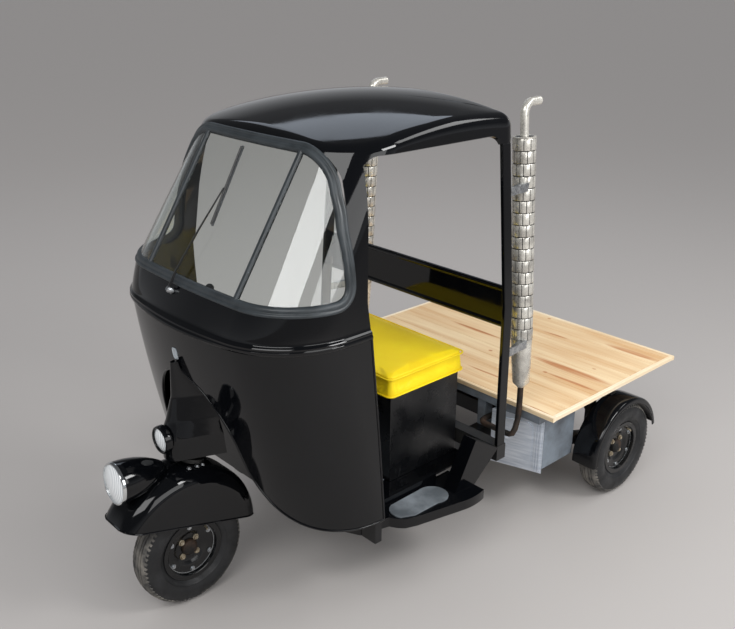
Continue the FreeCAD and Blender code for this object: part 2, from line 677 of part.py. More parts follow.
# Front guard: a drum-shaped hood with closed sides
HOOD_HALF_W = 96.0
HOOD_T = 4.0
HOOD_ROUND = 60.0


SKIRT_SLOPE = -0.279


def skirt_z(y):
    """Height of the skirt's lower edge, which drops to the rear."""
    return HOOD_Z + HOOD_R * math.sin(SKIRT_ANGLE) + SKIRT_SLOPE * (y - FRONT_Y)


def hood_body(inset):
    r, w, c = HOOD_R - inset, HOOD_HALF_W - inset, HOOD_ROUND - inset
    q = c * (1.0 - math.sqrt(0.5))
    return turned(
        0.0, HOOD_Y, HOOD_Z, (-w, 0.0), (-w, r - c), ((-w + q, r - q), (-w + c, r)), (w - c, r),
        ((w - q, r - q), (w, r - c)), (w, 0.0),
    )


def make_front_guard():
    hood = hood_body(0.0).cut(hood_body(HOOD_T))
    below = side_plate(
        -200.0, 200.0, (FRONT_Y - 80.0, skirt_z(FRONT_Y - 80.0)), (HOOD_Y + 400.0, skirt_z(HOOD_Y + 400.0)),
        (HOOD_Y + 400.0, -200.0), (FRONT_Y - 80.0, -200.0),
    )
    hole = rod(tuple(steer_point(450.0)), tuple(steer_point(650.0)), STEM_R + SEAT_GAP)
    return hood.cut([below, hole])


# Headlamp in a bullet-shaped pod on the front guard
LAMP_Y = FRONT_AXLE_Y - 250.0
LAMP_Z = 564.0
LAMP_PITCH = 3.0
POD_R = 72.0
LENS_R = POD_R - 6.3
LENS_BALL_R = 200.0


def make_headlamp():
    """Made along +Y with the rim at the origin, then tilted and placed."""
    outline = wire(
        lambda a, r: V(0, a, r), (0.0, 0.0), (0.0, POD_R - 4.0), (6.0, POD_R), ((90.0, POD_R - 8.0), (168.0, 32.0)),
        ((184.0, 18.0), (192.0, 0.0)),
    )
    pod = Part.Face(outline).revolve(V(0, 0, 0), V(0, 1, 0), 360)
    pod = pod.cut(rod((0, -5.0, 0), (0, 14.0, 0), LENS_R + SEAT_GAP))
    ball = Part.makeSphere(LENS_BALL_R, V(0, LENS_BALL_R - 11.0, 0))
    lens = rod((0, -20.0, 0), (0, 13.7, 0), LENS_R).common(ball)
    for shape in (pod, lens):
        shape.rotate(V(0, 0, 0), V(1, 0, 0), -LAMP_PITCH)
        shape.translate(V(0, LAMP_Y, LAMP_Z))
    save("headlamp_pod", pod.cut(hood_body(-SEAT_GAP)))
    save("headlamp_lens", lens)


# Steering: stem, fork leg on the right, trailing link with the front axle, damper, bar
STEM_TOP_Z = 1012.0
LEG_X = (-86.0, -71.0)
LINK_X = (-70.7, DRUM_X - MOVING_GAP)
LINK_PIVOT = (FRONT_AXLE_Y - 108.0, 236.0)
CROWN_Z = (440.0, 474.0)


def make_steering_stem():
    y, z = LINK_PIVOT
    stem = rod(tuple(steer_point(CROWN_Z[0] + 12.0)), tuple(steer_point(STEM_TOP_Z)), STEM_R)
    collar = rod(tuple(steer_point(HOOD_Z + HOOD_R - 6.0)), tuple(steer_point(HOOD_Z + HOOD_R + 8.0)), 46.0)
    collar = collar.cut(hood_body(-SEAT_GAP))
    crown = box(LEG_X[0], 28.0, FRONT_AXLE_Y - 20.0, FRONT_AXLE_Y + 62.0, *CROWN_Z)
    leg = side_plate(
        *LEG_X, (FRONT_AXLE_Y + 30.0, CROWN_Z[1]), (FRONT_AXLE_Y - 20.0, CROWN_Z[1]), (y - 22.0, z + 6.0),
        ((y, z - 22.0), (y + 22.0, z - 2.0)),
    )
    eye = rod((LEG_X[0] - 1.0, y, z), (LEG_X[1] + 1.0, y, z), 8.0 + SEAT_GAP)
    return fuse(stem, collar, crown, leg).cut(eye)


def make_front_link():
    y, z = LINK_PIVOT
    link = side_plate(
        *LINK_X, (y, z + 20.0), ((y - 20.0, z), (y, z - 20.0)), (FRONT_AXLE_Y, WHEEL_Z - 26.0),
        (FRONT_AXLE_Y + 62.0, WHEEL_Z - 14.0), (FRONT_AXLE_Y + 62.0, WHEEL_Z + 8.0), (FRONT_AXLE_Y, WHEEL_Z + 26.0),
    )
    pin = rod((LEG_X[0], y, z), (LINK_X[0] + 1.0, y, z), 8.0)
    axle = rod((LINK_X[0], FRONT_AXLE_Y, WHEEL_Z), (4.0, FRONT_AXLE_Y, WHEEL_Z), AXLE_R)
    return fuse(link, pin, axle)


def make_front_damper():
    x, y = -72.5, FRONT_AXLE_Y + 44.0
    z0, z1 = WHEEL_Z + 15.0 + 2.0, CROWN_Z[0] - SEAT_GAP
    return fuse(rod((x, y, z0), (x, y, z1 - 40.0), 9.0), rod((x, y, z0 + 60.0), (x, y, z1), 13.0))


BAR_R = 11.0
GRIP_R = 16.0
GRIP_L = 115.0


def make_handlebar():
    """A bar bent back to the driver, clamped on the stem; the grips are on its ends."""
    top = steer_point(STEM_TOP_Z)
    axis = (top - steer_point(STEER_Z)).normalize()
    bends = ((0.0, 4.0, 20.0), (115.0, 8.0, 30.0), (292.0, 172.0, 12.0))
    points = [top + V(*p) for p in bends]
    pieces = [rod(tuple(a), tuple(b), BAR_R) for a, b in zip(points, points[1:])]
    pieces += [Part.makeSphere(BAR_R, p) for p in points[:2]]
    clamp = rod(tuple(top + axis * SEAT_GAP), tuple(top + axis * 34.0), 26.0)
    bar = fuse(clamp, *pieces, *[mirrored(p) for p in pieces])
    along = (points[2] - points[1]).normalize()
    end = points[2] + along * 4.0
    grip = rod(tuple(end - along * GRIP_L), tuple(end), GRIP_R)
    grip = grip.cut(rod(tuple(points[1]), tuple(points[2] + along * 0.3), BAR_R + SEAT_GAP))
    save("handlebar", bar)
    save("handlebar_grips", pair(grip))


# Exhaust stacks behind the rear posts: the shield tapers at its foot, and its top leans inwards
STACK_X = 471.0
STACK_Y = 1257.0
STACK_FOOT_Z = 596.0
STACK_LEAN = math.radians(3.6)
SHIELD_R = 43.0
SHIELD_TOP = 978.0       # along the stack from its foot
TIP_R = 16.0
TIP_TOP = 1112.0
TIP_BEND_R = 40.0
TIP_REACH = 84.0         # from the stack's middle to the tip's open end
PIPE_R = 12.0
PIPE_BEND_R = 34.0
PIPE_X = 300.0
PIPE_Z = 390.0
PIPE_FRONT_Y = 1222.0
PIPE_REAR_Y = 1660.0


def stack_place(shape):
    """Moves a shape that stands upright at the origin to the left stack's foot and lean."""
    shape.rotate(V(0, 0, 0), V(0, 1, 0), -math.degrees(STACK_LEAN))
    shape.translate(V(STACK_X, STACK_Y, STACK_FOOT_Z))
    return shape


def shield_body(gap=0.0):
    r, top = SHIELD_R + gap, SHIELD_TOP
    outline = wire(
        lambda a, z: V(a, 0, z), (0.0, 0.0), (14.0 + gap, 0.0), (r - 10.0, 22.0), (r, 200.0), (r, top), (0.0, top),
    )
    return stack_place(Part.Face(outline).revolve(V(0, 0, 0), V(0, 0, 1), 360))


def make_stack():
    """A perforated heat shield round a pipe whose end is bent to the rear."""
    middle = TIP_TOP - TIP_R
    tip = pipe(((0, 0, SHIELD_TOP - 8.0), (0, 0, middle), (0, TIP_REACH, middle)), TIP_R, TIP_BEND_R)
    x, y, z = STACK_X, STACK_Y, STACK_FOOT_Z
    run = pipe(
        ((x, y, z + 8.0), (x, y, z - 110.0), (x, PIPE_FRONT_Y, PIPE_Z), (PIPE_X, PIPE_FRONT_Y, PIPE_Z),
         (PIPE_X, PIPE_REAR_Y, PIPE_Z), (ENGINE[1] + SEAT_GAP, PIPE_REAR_Y, PIPE_Z)),
        PIPE_R, PIPE_BEND_R,
    )
    return fuse(shield_body(), stack_place(tip), run)


CLAMP_Z = (790.0, 1396.0)


def make_stack_clamp():
    """Tabs from the rear post to the stack."""
    tabs = []
    for z in CLAMP_Z:
        stack_x = STACK_X - (z - STACK_FOOT_Z) * math.tan(STACK_LEAN)
        post_x, post_y = rear_post_at(z + 16.0)
        y = post_y + REAR_POST_D + SEAT_GAP
        tab = flat_plate(
            z - 16.0, z + 16.0, (post_x - 14.0, y), (post_x - 10.0, y), (stack_x + 38.0, STACK_Y), (stack_x, STACK_Y),
        )
        tabs.append(tab.cut(shield_body(SEAT_GAP)).Solids[0])
    return Part.makeCompound(tabs)


def make_pedal():
    """A brake pedal on a lever that stands on the floor."""
    lever = side_plate(-140.0, -126.0, (385.0, FLOOR_Z), (405.0, FLOOR_Z), (352.0, 430.0), (338.0, 424.0))
    pad = box(-160.0, -106.0, 324.0, 360.0, 418.0, 430.0)
    return fuse(lever, pad)


save("front_shell", make_front_shell())
save("cowl", make_cowl())
make_windscreen()
save("roof", make_roof())
save("rear_posts", pair(make_rear_post()))
save("back_beam", make_back_beam())
make_nose()
save("floor_pan", make_floor())
save("sills", pair(make_sill()))
save("floor_mats", make_mat())
make_seat()
save("chassis_rails", make_chassis())
save("post_cross_member", make_post_cross())
save("deck_frame", make_deck_frame())
make_deck()
for name, make_left in (
    ("side_boxes", make_side_box),
    ("front_panels", make_front_panel),
    ("rear_arms", make_rear_arm),
    ("rear_dampers", make_rear_damper),
    ("rear_guards", make_rear_guard),
    ("stacks", make_stack),
    ("stack_clamps", make_stack_clamp),
):
    save(name, pair(make_left()))
save("engine_block", make_engine())
for name, x, y, side in WHEELS:
    save(f"{name}_tyre", make_tyre(x, y))
    save(f"{name}_rim", make_rim(x, y, side))
    save(f"{name}_hub", make_hub(x, y, side))
save("front_guard", make_front_guard())
make_headlamp()
save("steering_stem", make_steering_stem())
save("front_link", make_front_link())
save("front_damper", make_front_damper())
make_handlebar()
save("brake_pedal", make_pedal())
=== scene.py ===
import json
import math
import bmesh
import bpy
import numpy as np
from mathutils import Matrix, Vector

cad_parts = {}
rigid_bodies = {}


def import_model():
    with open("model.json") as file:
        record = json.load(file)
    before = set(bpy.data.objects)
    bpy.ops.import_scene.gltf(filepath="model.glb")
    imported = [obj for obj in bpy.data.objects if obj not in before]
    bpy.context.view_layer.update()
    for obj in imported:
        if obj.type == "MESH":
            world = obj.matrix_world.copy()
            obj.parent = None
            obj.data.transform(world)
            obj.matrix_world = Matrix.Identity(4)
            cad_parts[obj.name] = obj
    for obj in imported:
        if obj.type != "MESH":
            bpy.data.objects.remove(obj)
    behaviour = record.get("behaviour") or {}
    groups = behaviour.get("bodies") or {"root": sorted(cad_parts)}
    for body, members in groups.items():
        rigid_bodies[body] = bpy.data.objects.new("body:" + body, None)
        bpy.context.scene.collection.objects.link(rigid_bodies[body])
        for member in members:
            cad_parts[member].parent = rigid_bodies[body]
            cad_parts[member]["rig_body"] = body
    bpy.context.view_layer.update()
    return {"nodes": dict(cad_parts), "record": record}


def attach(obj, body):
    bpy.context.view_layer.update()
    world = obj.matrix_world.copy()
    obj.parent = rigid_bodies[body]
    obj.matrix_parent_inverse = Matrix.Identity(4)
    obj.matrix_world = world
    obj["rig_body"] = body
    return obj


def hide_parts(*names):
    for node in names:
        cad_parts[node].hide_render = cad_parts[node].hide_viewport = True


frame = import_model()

# Ladder chassis.
# Two box-section steel rails with cross bars carry the cab, the engine and the deck frame.
# Welded, then brushed with semi-gloss black chassis paint that has gathered road dust.
MIDDLE_Y = 956.92


def spot(x, y, z):
    """A place in millimetres, measured along the vehicle from the front axle, in the frame's metres."""
    return Vector((x, y - MIDDLE_Y, z)) / 1000.0


def linear(hex_colour):
    """An sRGB hex colour as linear red, green, blue and alpha."""
    values = [int(hex_colour[i:i + 2], 16) / 255.0 for i in (1, 3, 5)]
    return [v / 12.92 if v <= 0.04045 else ((v + 0.055) / 1.055) ** 2.4 for v in values] + [1.0]


SIDES = ((1.0, "left"), (-1.0, "right"))


def add(tree, kind, inputs=None, **settings):
    """Adds a node with its settings; each input is a value or another node's output."""
    made = tree.nodes.new(kind)
    for name, value in settings.items():
        setattr(made, name, value)
    for name, value in (inputs or {}).items():
        if isinstance(value, bpy.types.NodeSocket):
            tree.links.new(value, made.inputs[name])
        else:
            made.inputs[name].default_value = value
    return made


def start_material(name, colour, roughness, metallic=0.0, ior=1.5):
    """A material with its shader's plain values; returns it with its tree, shader and place."""
    made = bpy.data.materials.new(name)
    made.use_nodes = True
    tree = made.node_tree
    shader = tree.nodes["Principled BSDF"]
    shader.inputs["Base Color"].default_value = linear(colour)
    shader.inputs["Roughness"].default_value = roughness
    shader.inputs["Metallic"].default_value = metallic
    shader.inputs["IOR"].default_value = ior
    place = tree.nodes.new("ShaderNodeTexCoord").outputs["Object"]
    return made, tree, shader, place


def grain(tree, place, size_mm, detail=3.0, stretch=(1.0, 1.0, 1.0), seed=0.0):
    """Noise with features of a real size; stretch above 1 lengthens them along an axis."""
    scale = [1.0 / s for s in stretch]
    moved = add(tree, "ShaderNodeMapping",
                {"Vector": place, "Scale": scale, "Location": (seed, seed * 0.7, 0.0)})
    noise = add(tree, "ShaderNodeTexNoise", {
        "Vector": moved.outputs["Vector"], "Scale": 1000.0 / size_mm / 1.6, "Detail": detail,
        "Roughness": 0.55,
    })
    return noise.outputs["Fac"]


def span(tree, factor, low, high, bottom, top):
    """The factor's stretch from low to high as a value from bottom to top."""
    made = add(tree, "ShaderNodeMapRange", {
        "Value": factor, "From Min": low, "From Max": high, "To Min": bottom, "To Max": top,
    }, clamp=True)
    return made.outputs["Result"]


def blend(tree, factor, low, high, first, second):
    """One colour below low, another above high; each is a hex colour or a node's output."""
    mixed = add(tree, "ShaderNodeMix", {"Factor": span(tree, factor, low, high, 0.0, 1.0)}, data_type="RGBA")
    for index, value in ((6, first), (7, second)):
        if isinstance(value, str):
            mixed.inputs[index].default_value = linear(value)
        else:
            tree.links.new(value, mixed.inputs[index])
    return mixed.outputs[2]


def calc(tree, operation, first, second):
    """A sum, a product or a maximum of two, each a value or a node's output."""
    return add(tree, "ShaderNodeMath", {0: first, 1: second}, operation=operation).outputs[0]


def bands(tree, place, period_mm):
    """Soft stripes across X; the wave texture's own period is pi / 10 m at a scale of 1."""
    wave = add(tree, "ShaderNodeTexWave",
               {"Vector": place, "Scale": 100.0 * math.pi / period_mm, "Distortion": 0.0},
               wave_type="BANDS", bands_direction="X")
    return wave.outputs["Fac"]


def emboss(tree, shader, height, depth_mm, strength=1.0):
    """Relief of a real depth on the surface."""
    made = add(tree, "ShaderNodeBump",
               {"Height": height, "Distance": depth_mm / 1000.0, "Strength": strength})
    tree.links.new(made.outputs["Normal"], shader.inputs["Normal"])


def surface(name, colour, roughness, tint=None, sheen=None, relief=None, **plain):
    """A material with grain. tint holds a grain, the stretch over which it turns, and its two
    colours; sheen the same with two roughnesses; relief a grain, its depth in millimetres and its
    strength. A grain is (size in mm, detail, stretch, seed)."""
    made, tree, shader, place = start_material(name, colour, roughness, **plain)
    if tint:
        tree.links.new(blend(tree, grain(tree, place, *tint[0]), *tint[1:]), shader.inputs["Base Color"])
    if sheen:
        tree.links.new(span(tree, grain(tree, place, *sheen[0]), *sheen[1:]), shader.inputs["Roughness"])
    if relief:
        emboss(tree, shader, grain(tree, place, *relief[0]), *relief[1:])
    return made


def put(name, data):
    """An object in the scene for a mesh, a lamp or a camera."""
    made = bpy.data.objects.new(name, data)
    bpy.context.scene.collection.objects.link(made)
    return made


def bake(made):
    """The piece's shape with its modifiers applied, as a new mesh."""
    bpy.context.view_layer.update()
    graph = bpy.context.evaluated_depsgraph_get()
    mesh = bpy.data.meshes.new_from_object(made.evaluated_get(graph))
    made.modifiers.clear()
    return mesh


def fix(made, body, slot, *nodes):
    """Puts a finished piece on its body and hides the solids that it stands for; the slot is not used."""
    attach(made, body)
    if nodes:
        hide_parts(*nodes)
    return made


def finished(name, material, edge_mm=1.5, segments=2):
    """A solid's own shape, its edges rounded as folded, sawn or cast ones are; it stands for the solid."""
    source = frame["nodes"][name]
    mesh = bpy.data.meshes.new(f"{name}_finished")
    work = bmesh.new()
    work.from_mesh(source.data)
    bmesh.ops.remove_doubles(work, verts=work.verts, dist=0.00002)
    bmesh.ops.dissolve_limit(work, angle_limit=math.radians(1.0), verts=work.verts, edges=work.edges)
    for face in work.faces:
        face.smooth = True
    work.to_mesh(mesh)
    work.free()
    mesh.materials.clear()
    mesh.materials.append(material)
    made = put(f"{name}_finished", mesh)
    edges = made.modifiers.new("edges", "BEVEL")
    edges.width, edges.segments = edge_mm / 1000.0, segments
    edges.limit_method, edges.angle_limit = "ANGLE", math.radians(28.0)
    made.modifiers.new("shading", "WEIGHTED_NORMAL")
    made.data = bake(made)
    part = next(row for row in frame["record"]["subparts"] if row["node"] == name)
    return fix(made, source["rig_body"], part["material_slot"], name)


# Semi-gloss alkyd chassis paint, brushed on: a soft sheen that dust dulls
chassis_paint = surface(
    "chassis_paint_semi_gloss_black", "#17181A", 0.42,
    tint=((60.0, 5.0), 0.45, 0.75, "#121315", "#2A2927"),
    sheen=((60.0, 5.0), 0.4, 0.75, 0.3, 0.6),
    relief=((4.0,), 0.12, 0.5),
)
for name in ("chassis_rails", "post_cross_member", "rear_arms", "rear_dampers"):
    finished(name, chassis_paint, 2.0)

# Hexagon bolts on the rails' cross bars: zinc-plated steel heads on washers, one tree for all fixings
zinc = surface(
    "zinc_plated_steel", "#B9BDC0", 0.34, metallic=1.0,
    tint=((12.0, 4.0), 0.4, 0.7, "#A9ADB1", "#C9CCCE"),
    sheen=((6.0, 4.0), 0.35, 0.7, 0.22, 0.5),
)


def start_tree(name, inputs, out):
    """A geometry tree with its sockets, of which the places come first, and its input node."""
    tree, sockets = bpy.data.node_groups.new(name, "GeometryNodeTree"), {}
    for label, kind in (("Places", "NodeSocketGeometry"),) + inputs:
        sockets[label] = tree.interface.new_socket(label, in_out="INPUT", socket_type=kind).identifier
    tree.interface.new_socket(out, in_out="OUTPUT", socket_type="NodeSocketGeometry")
    return tree, sockets, add(tree, "NodeGroupInput")


bolt_tree, bolt_sockets, start = start_tree("hexagon_heads", (
    ("Head radius", "NodeSocketFloat"), ("Head height", "NodeSocketFloat"), ("Finish", "NodeSocketMaterial")),
    "Bolts")
washer_r = calc(bolt_tree, "MULTIPLY", start.outputs["Head radius"], 1.4)
washer_t = calc(bolt_tree, "MULTIPLY", start.outputs["Head height"], 0.4)
head = add(bolt_tree, "GeometryNodeMeshCylinder", {
    "Vertices": 6, "Radius": start.outputs["Head radius"], "Depth": start.outputs["Head height"]})
lift = add(bolt_tree, "ShaderNodeCombineXYZ", {"Z": washer_t})
raised = add(bolt_tree, "GeometryNodeTransform",
             {"Geometry": head.outputs["Mesh"], "Translation": lift.outputs[0]})
washer = add(bolt_tree, "GeometryNodeMeshCylinder", {"Vertices": 18, "Radius": washer_r, "Depth": washer_t})
both = add(bolt_tree, "GeometryNodeJoinGeometry")
bolt_tree.links.new(raised.outputs[0], both.inputs[0])
bolt_tree.links.new(washer.outputs["Mesh"], both.inputs[0])


def facing_way(tree):
    """The way that each point faces."""
    return add(tree, "GeometryNodeInputNamedAttribute", {"Name": "facing"},
               data_type="FLOAT_VECTOR").outputs["Attribute"]


def plant(tree, start, shape, turned, finish, out):
    """Ends a tree: the shape on every place, turned, made real and given its material."""
    placed = add(tree, "GeometryNodeInstanceOnPoints", {
        "Points": start.outputs["Places"], "Instance": shape, "Rotation": turned.outputs[0]})
    real = add(tree, "GeometryNodeRealizeInstances", {"Geometry": placed.outputs[0]})
    coated = add(tree, "GeometryNodeSetMaterial",
                 {"Geometry": real.outputs[0], "Material": start.outputs[finish]})
    add(tree, "NodeGroupOutput", {out: coated.outputs[0]})


turned = add(bolt_tree, "FunctionNodeAlignRotationToVector", {"Vector": facing_way(bolt_tree)}, axis="Z")
plant(bolt_tree, start, both.outputs[0], turned, "Finish", "Bolts")


def grown(name, tree, points, facings, values):
    """Runs a geometry tree on points that each face a way, and keeps the result as a plain mesh."""
    mesh = bpy.data.meshes.new(name)
    mesh.from_pydata([tuple(p) for p in points], [], [])
    if facings:
        layer = mesh.attributes.new("facing", "FLOAT_VECTOR", "POINT")
        layer.data.foreach_set("vector", [v for f in facings for v in f])
    made = put(name, mesh)
    grow = made.modifiers.new("grow", "NODES")
    grow.node_group = tree
    for identifier, value in values.items():
        grow[identifier] = value
    made.data = bake(made)
    return made


def bolts(name, places, facings, radius_mm, height_mm, material, body, slot):
    """Hexagon bolts at places, each facing its own way."""
    values = {bolt_sockets["Head radius"]: radius_mm / 1000.0,
              bolt_sockets["Head height"]: height_mm / 1000.0,
              bolt_sockets["Finish"]: material}
    return fix(grown(name, bolt_tree, places, facings, values), body, slot)


rail_bolts = [spot(s * 271.0, y, 284.0) for s in (-1, 1) for y in (470.0, 490.0, 1490.0, 1510.0, 2100.0)]
bolts("chassis_bolts", rail_bolts, [(p.x, 0, 0) for p in rail_bolts], 8.0, 6.0, zinc, "body", "chassis_black")

# Floor and sills.
# A pressed floor plate with the bulkhead behind the front wheel and the steering head in it. On
# each side a step plate with a raised inner ridge ties the shell's foot to the rear post.

# Two-pack enamel, sprayed and polished: near black, a hard clear reflection, faint orange peel
cab_enamel = surface(
    "sprayed_black_enamel", "#060709", 0.07, ior=1.43,
    tint=((180.0, 4.0), 0.35, 0.7, "#050608", "#090A0D"),
    sheen=((90.0, 6.0, (1.0, 1.0, 1.0), 3.0), 0.35, 0.75, 0.03, 0.12),
    relief=((14.0, 2.0), 0.03, 0.5),
)
finished("floor_pan", cab_enamel, 1.5)
finished("sills", cab_enamel, 3.0, 3)

# Mats.
# A moulded rubber pad with round ends on each step and a plain mat on the floor. They are glued
# down, ribbed along the vehicle, and worn grey by shoes.
mat_rubber, tree, shader, place = start_material("worn_ribbed_rubber", "#676D72", 0.75)
wear = grain(tree, place, 70.0, 5.0)
tree.links.new(blend(tree, wear, 0.35, 0.7, "#50565B", "#868D93"), shader.inputs["Base Color"])
tree.links.new(span(tree, wear, 0.3, 0.7, 0.55, 0.8), shader.inputs["Roughness"])
emboss(tree, shader, bands(tree, place, 7.89), 0.5, 0.35)
finished("floor_mats", mat_rubber, 1.2)

# Front shell of the cab.
# One pressed steel skin wraps the driver's legs and is cut to a pointed arch over the front
# wheel. Its edge is wired, rolled round a bead, and it is sprayed with glossy black enamel.


def settle(made, angle=32.0):
    """Applies the modifiers, joins doubled points, and keeps edges sharper than the angle crisp."""
    mesh = bake(made)
    work = bmesh.new()
    work.from_mesh(mesh)
    bmesh.ops.remove_doubles(work, verts=work.verts, dist=0.00002)
    bmesh.ops.dissolve_degenerate(work, edges=work.edges, dist=0.00001)
    bmesh.ops.delete(work, geom=[v for v in work.verts if not v.link_faces], context="VERTS")
    bmesh.ops.recalc_face_normals(work, faces=work.faces)
    limit = math.radians(angle)
    for edge in work.edges:
        edge.smooth = not (len(edge.link_faces) == 2 and edge.calc_face_angle(0.0) > limit)
    for face in work.faces:
        face.smooth = True
    work.to_mesh(mesh)
    work.free()
    made.data = mesh
    return made


def from_faces(name, points, faces, material):
    """A piece from points and faces in one material."""
    mesh = bpy.data.meshes.new(name)
    mesh.from_pydata([tuple(p) for p in points], [], faces)
    mesh.materials.append(material)
    return put(name, mesh)


def sheet_metal(name, rows, thickness_mm, material, closed=False, poles=None, inner=None,
                middle=(0.0, 500.0, 1200.0)):
    """A sheet through rows of points with its inner face and its cut edges; poles close the last row."""
    outer = np.array([[tuple(p) for p in row] for row in rows])
    if inner is None:
        along = np.roll(outer, -1, 1) - np.roll(outer, 1, 1) if closed else np.gradient(outer, axis=1)
        normal = np.cross(along, np.gradient(outer, axis=0))
        length = np.linalg.norm(normal, axis=2, keepdims=True)
        normal = normal / np.maximum(length, 1e-12)
        if np.sum((np.array(spot(*middle)) - outer) * normal) < 0.0:
            normal = -normal
        inner = outer + normal * thickness_mm / 1000.0
    else:
        inner = np.array([[tuple(p) for p in row] for row in inner])
    high, wide = outer.shape[:2]
    count = high * wide
    points = np.concatenate([outer.reshape(-1, 3), inner.reshape(-1, 3)]).tolist()
    faces, last = [], wide if closed else wide - 1
    for i in range(high - 1):
        for j in range(last):
            k = (j + 1) % wide
            a, b, c, d = i * wide + j, i * wide + k, (i + 1) * wide + k, (i + 1) * wide + j
            faces += [(a, b, c, d), (count + d, count + c, count + b, count + a)]
    for j in range(last):
        k = (j + 1) % wide
        faces.append((k, j, count + j, count + k))
        if poles is None:
            a, b = (high - 1) * wide + j, (high - 1) * wide + k
            faces.append((a, b, count + b, count + a))
    if not closed:
        for i in range(high - 1):
            a, b = i * wide, (i + 1) * wide
            faces += [(a, b, count + b, count + a), (b + last, a + last, count + a + last, count + b + last)]
    if poles is not None:
        points += [tuple(p) for p in poles]
        for layer in (0, 1):
            base = layer * count + (high - 1) * wide
            faces += [(base + j, base + (j + 1) % wide, 2 * count + layer) for j in range(last)]
    return settle(from_faces(name, points, faces, material))


def curve_through(start, *steps, count=10):
    """Points along an outline: each step is a point, or a pair (middle, end) of an arc."""
    line, here = [Vector(start)], Vector(start)
    for step in steps:
        if isinstance(step[0], (tuple, list)):
            mid, end = Vector(step[0]), Vector(step[1])
            a, b = mid - here, end - here
            d = 2.0 * (a.x * b.y - a.y * b.x)
            centre = here + Vector((b.y * a.length_squared - a.y * b.length_squared,
                                    a.x * b.length_squared - b.x * a.length_squared)) / d
            r = (here - centre).length
            t0 = math.atan2(here.y - centre.y, here.x - centre.x)
            t1 = math.atan2(end.y - centre.y, end.x - centre.x)
            if d > 0.0:
                t1 += 2.0 * math.pi if t1 < t0 else 0.0
            else:
                t1 -= 2.0 * math.pi if t1 > t0 else 0.0
            for i in range(1, count + 1):
                t = t0 + (t1 - t0) * i / count
                line.append(centre + Vector((math.cos(t), math.sin(t))) * r)
            here = end
        else:
            here = Vector(step)
            line.append(here)
    return line


def value_on(line, at, along=0, across=1):
    """The line's height at a place along it."""
    order = sorted(line, key=lambda p: p[along])
    return float(np.interp(at, [p[along] for p in order], [p[across] for p in order]))


def outlines(rows):
    """The cab's outline values at any height: front, half width, bow and corner radius."""
    table = np.array(rows)
    fits = [np.polyfit(table[:, 0], table[:, i], min(3, len(rows) - 1)) for i in range(1, 5)]
    return lambda z: [float(np.polyval(fit, z)) for fit in fits]


def plan(row, a, rear=700.0, out=0.0):
    """A point of the cab's outline seen from above. From the middle of the front, a runs to 0.5 at the
    end of the bow, 1.5 at the end of the corner and 2.5 at the rear; it is negative on the right."""
    front, half, bow, corner = row
    cx = half - corner
    depth = math.sqrt((bow - corner) ** 2 - cx ** 2)
    cy, side, a = front + bow - depth, (1.0 if a >= 0.0 else -1.0), abs(a)
    share = math.atan2(cx, depth)
    if a <= 0.5:
        turn = share * a / 0.5
        return side * (bow + out) * math.sin(turn), front + bow - (bow + out) * math.cos(turn)
    if a <= 1.5:
        turn = share + (0.5 * math.pi - share) * (a - 0.5)
        return side * (cx + (corner + out) * math.sin(turn)), cy - (corner + out) * math.cos(turn)
    return side * (half + out), cy + (rear - cy) * (a - 1.5)


def post_rear(z):
    """Rear edge of the door posts, furthest forward at the waist."""
    return 409.0 + (0.063 * (WAIST_Z - z) if z < WAIST_Z else 0.1 * (z - WAIST_Z))


BELT_Z, WAIST_Z, SEAM_Z = 1052.0, 1165.0, 1572.0
# How far in from the skin the inner face of the steel, of a pane and of a door post lies
STEEL_T, PANE_T, POST_T = 7.0, 7.0, 24.0

# Columns: z, front, half width, bow, corner radius, in millimetres
shell_row = outlines((
    (372.0, 128.0, 532.0, 1200.0, 300.0), (515.0, 92.0, 530.0, 1200.0, 305.0),
    (744.0, 50.0, 524.0, 1200.0, 308.0),
    (900.0, 16.0, 518.0, 1200.0, 304.0), (BELT_Z, 0.0, 512.0, 1200.0, 300.0),
))
ARCH = curve_through((0.0, 905.0), (110.0, 848.0), ((205.0, 730.0), (240.0, 610.0)),
                     ((300.0, 490.0), (520.0, 372.0)), count=24)
arch_x, arch_z = [p.x for p in ARCH], [p.y for p in ARCH]


def shell_foot(a):
    """Height of the shell's lower edge at a place of its outline."""
    z = 600.0
    for _ in range(14):
        z = 0.5 * z + 0.5 * float(np.interp(abs(plan(shell_row(z), a, post_rear(z))[0]), arch_x, arch_z,
                                            right=372.0))
    return z


def pressing(name, grid, place, inside, material, slot, *nodes):
    """A curved sheet over a grid of (a, z, out), where inside is how far in its inner face lies."""
    rows = [[place(a, z, out) for a, z, out in row] for row in grid]
    inner = [[place(a, z, -inside) for a, z, out in row] for row in grid]
    fix(sheet_metal(name, rows, inside, material, inner=inner), "body", slot, *nodes)
    return rows


def on_shell(a, z, out=0.0):
    """A place on the shell's surface, or out from it."""
    return spot(*plan(shell_row(z), a, post_rear(z), out), z)


stations = [i / 60.0 for i in range(30)] + [0.5 + i / 48.0 for i in range(48)]
stations += [1.5 + i / 12.0 for i in range(13)]
stations = [-a for a in reversed(stations[1:])] + stations
feet = [shell_foot(a) for a in stations]
grid = [[(a, foot + (BELT_Z - foot) * i / 40.0, 0.0) for a, foot in zip(stations, feet)] for i in range(41)]
rows = pressing("front_shell_skin", grid, on_shell, STEEL_T, cab_enamel, "black_paint", "front_shell")


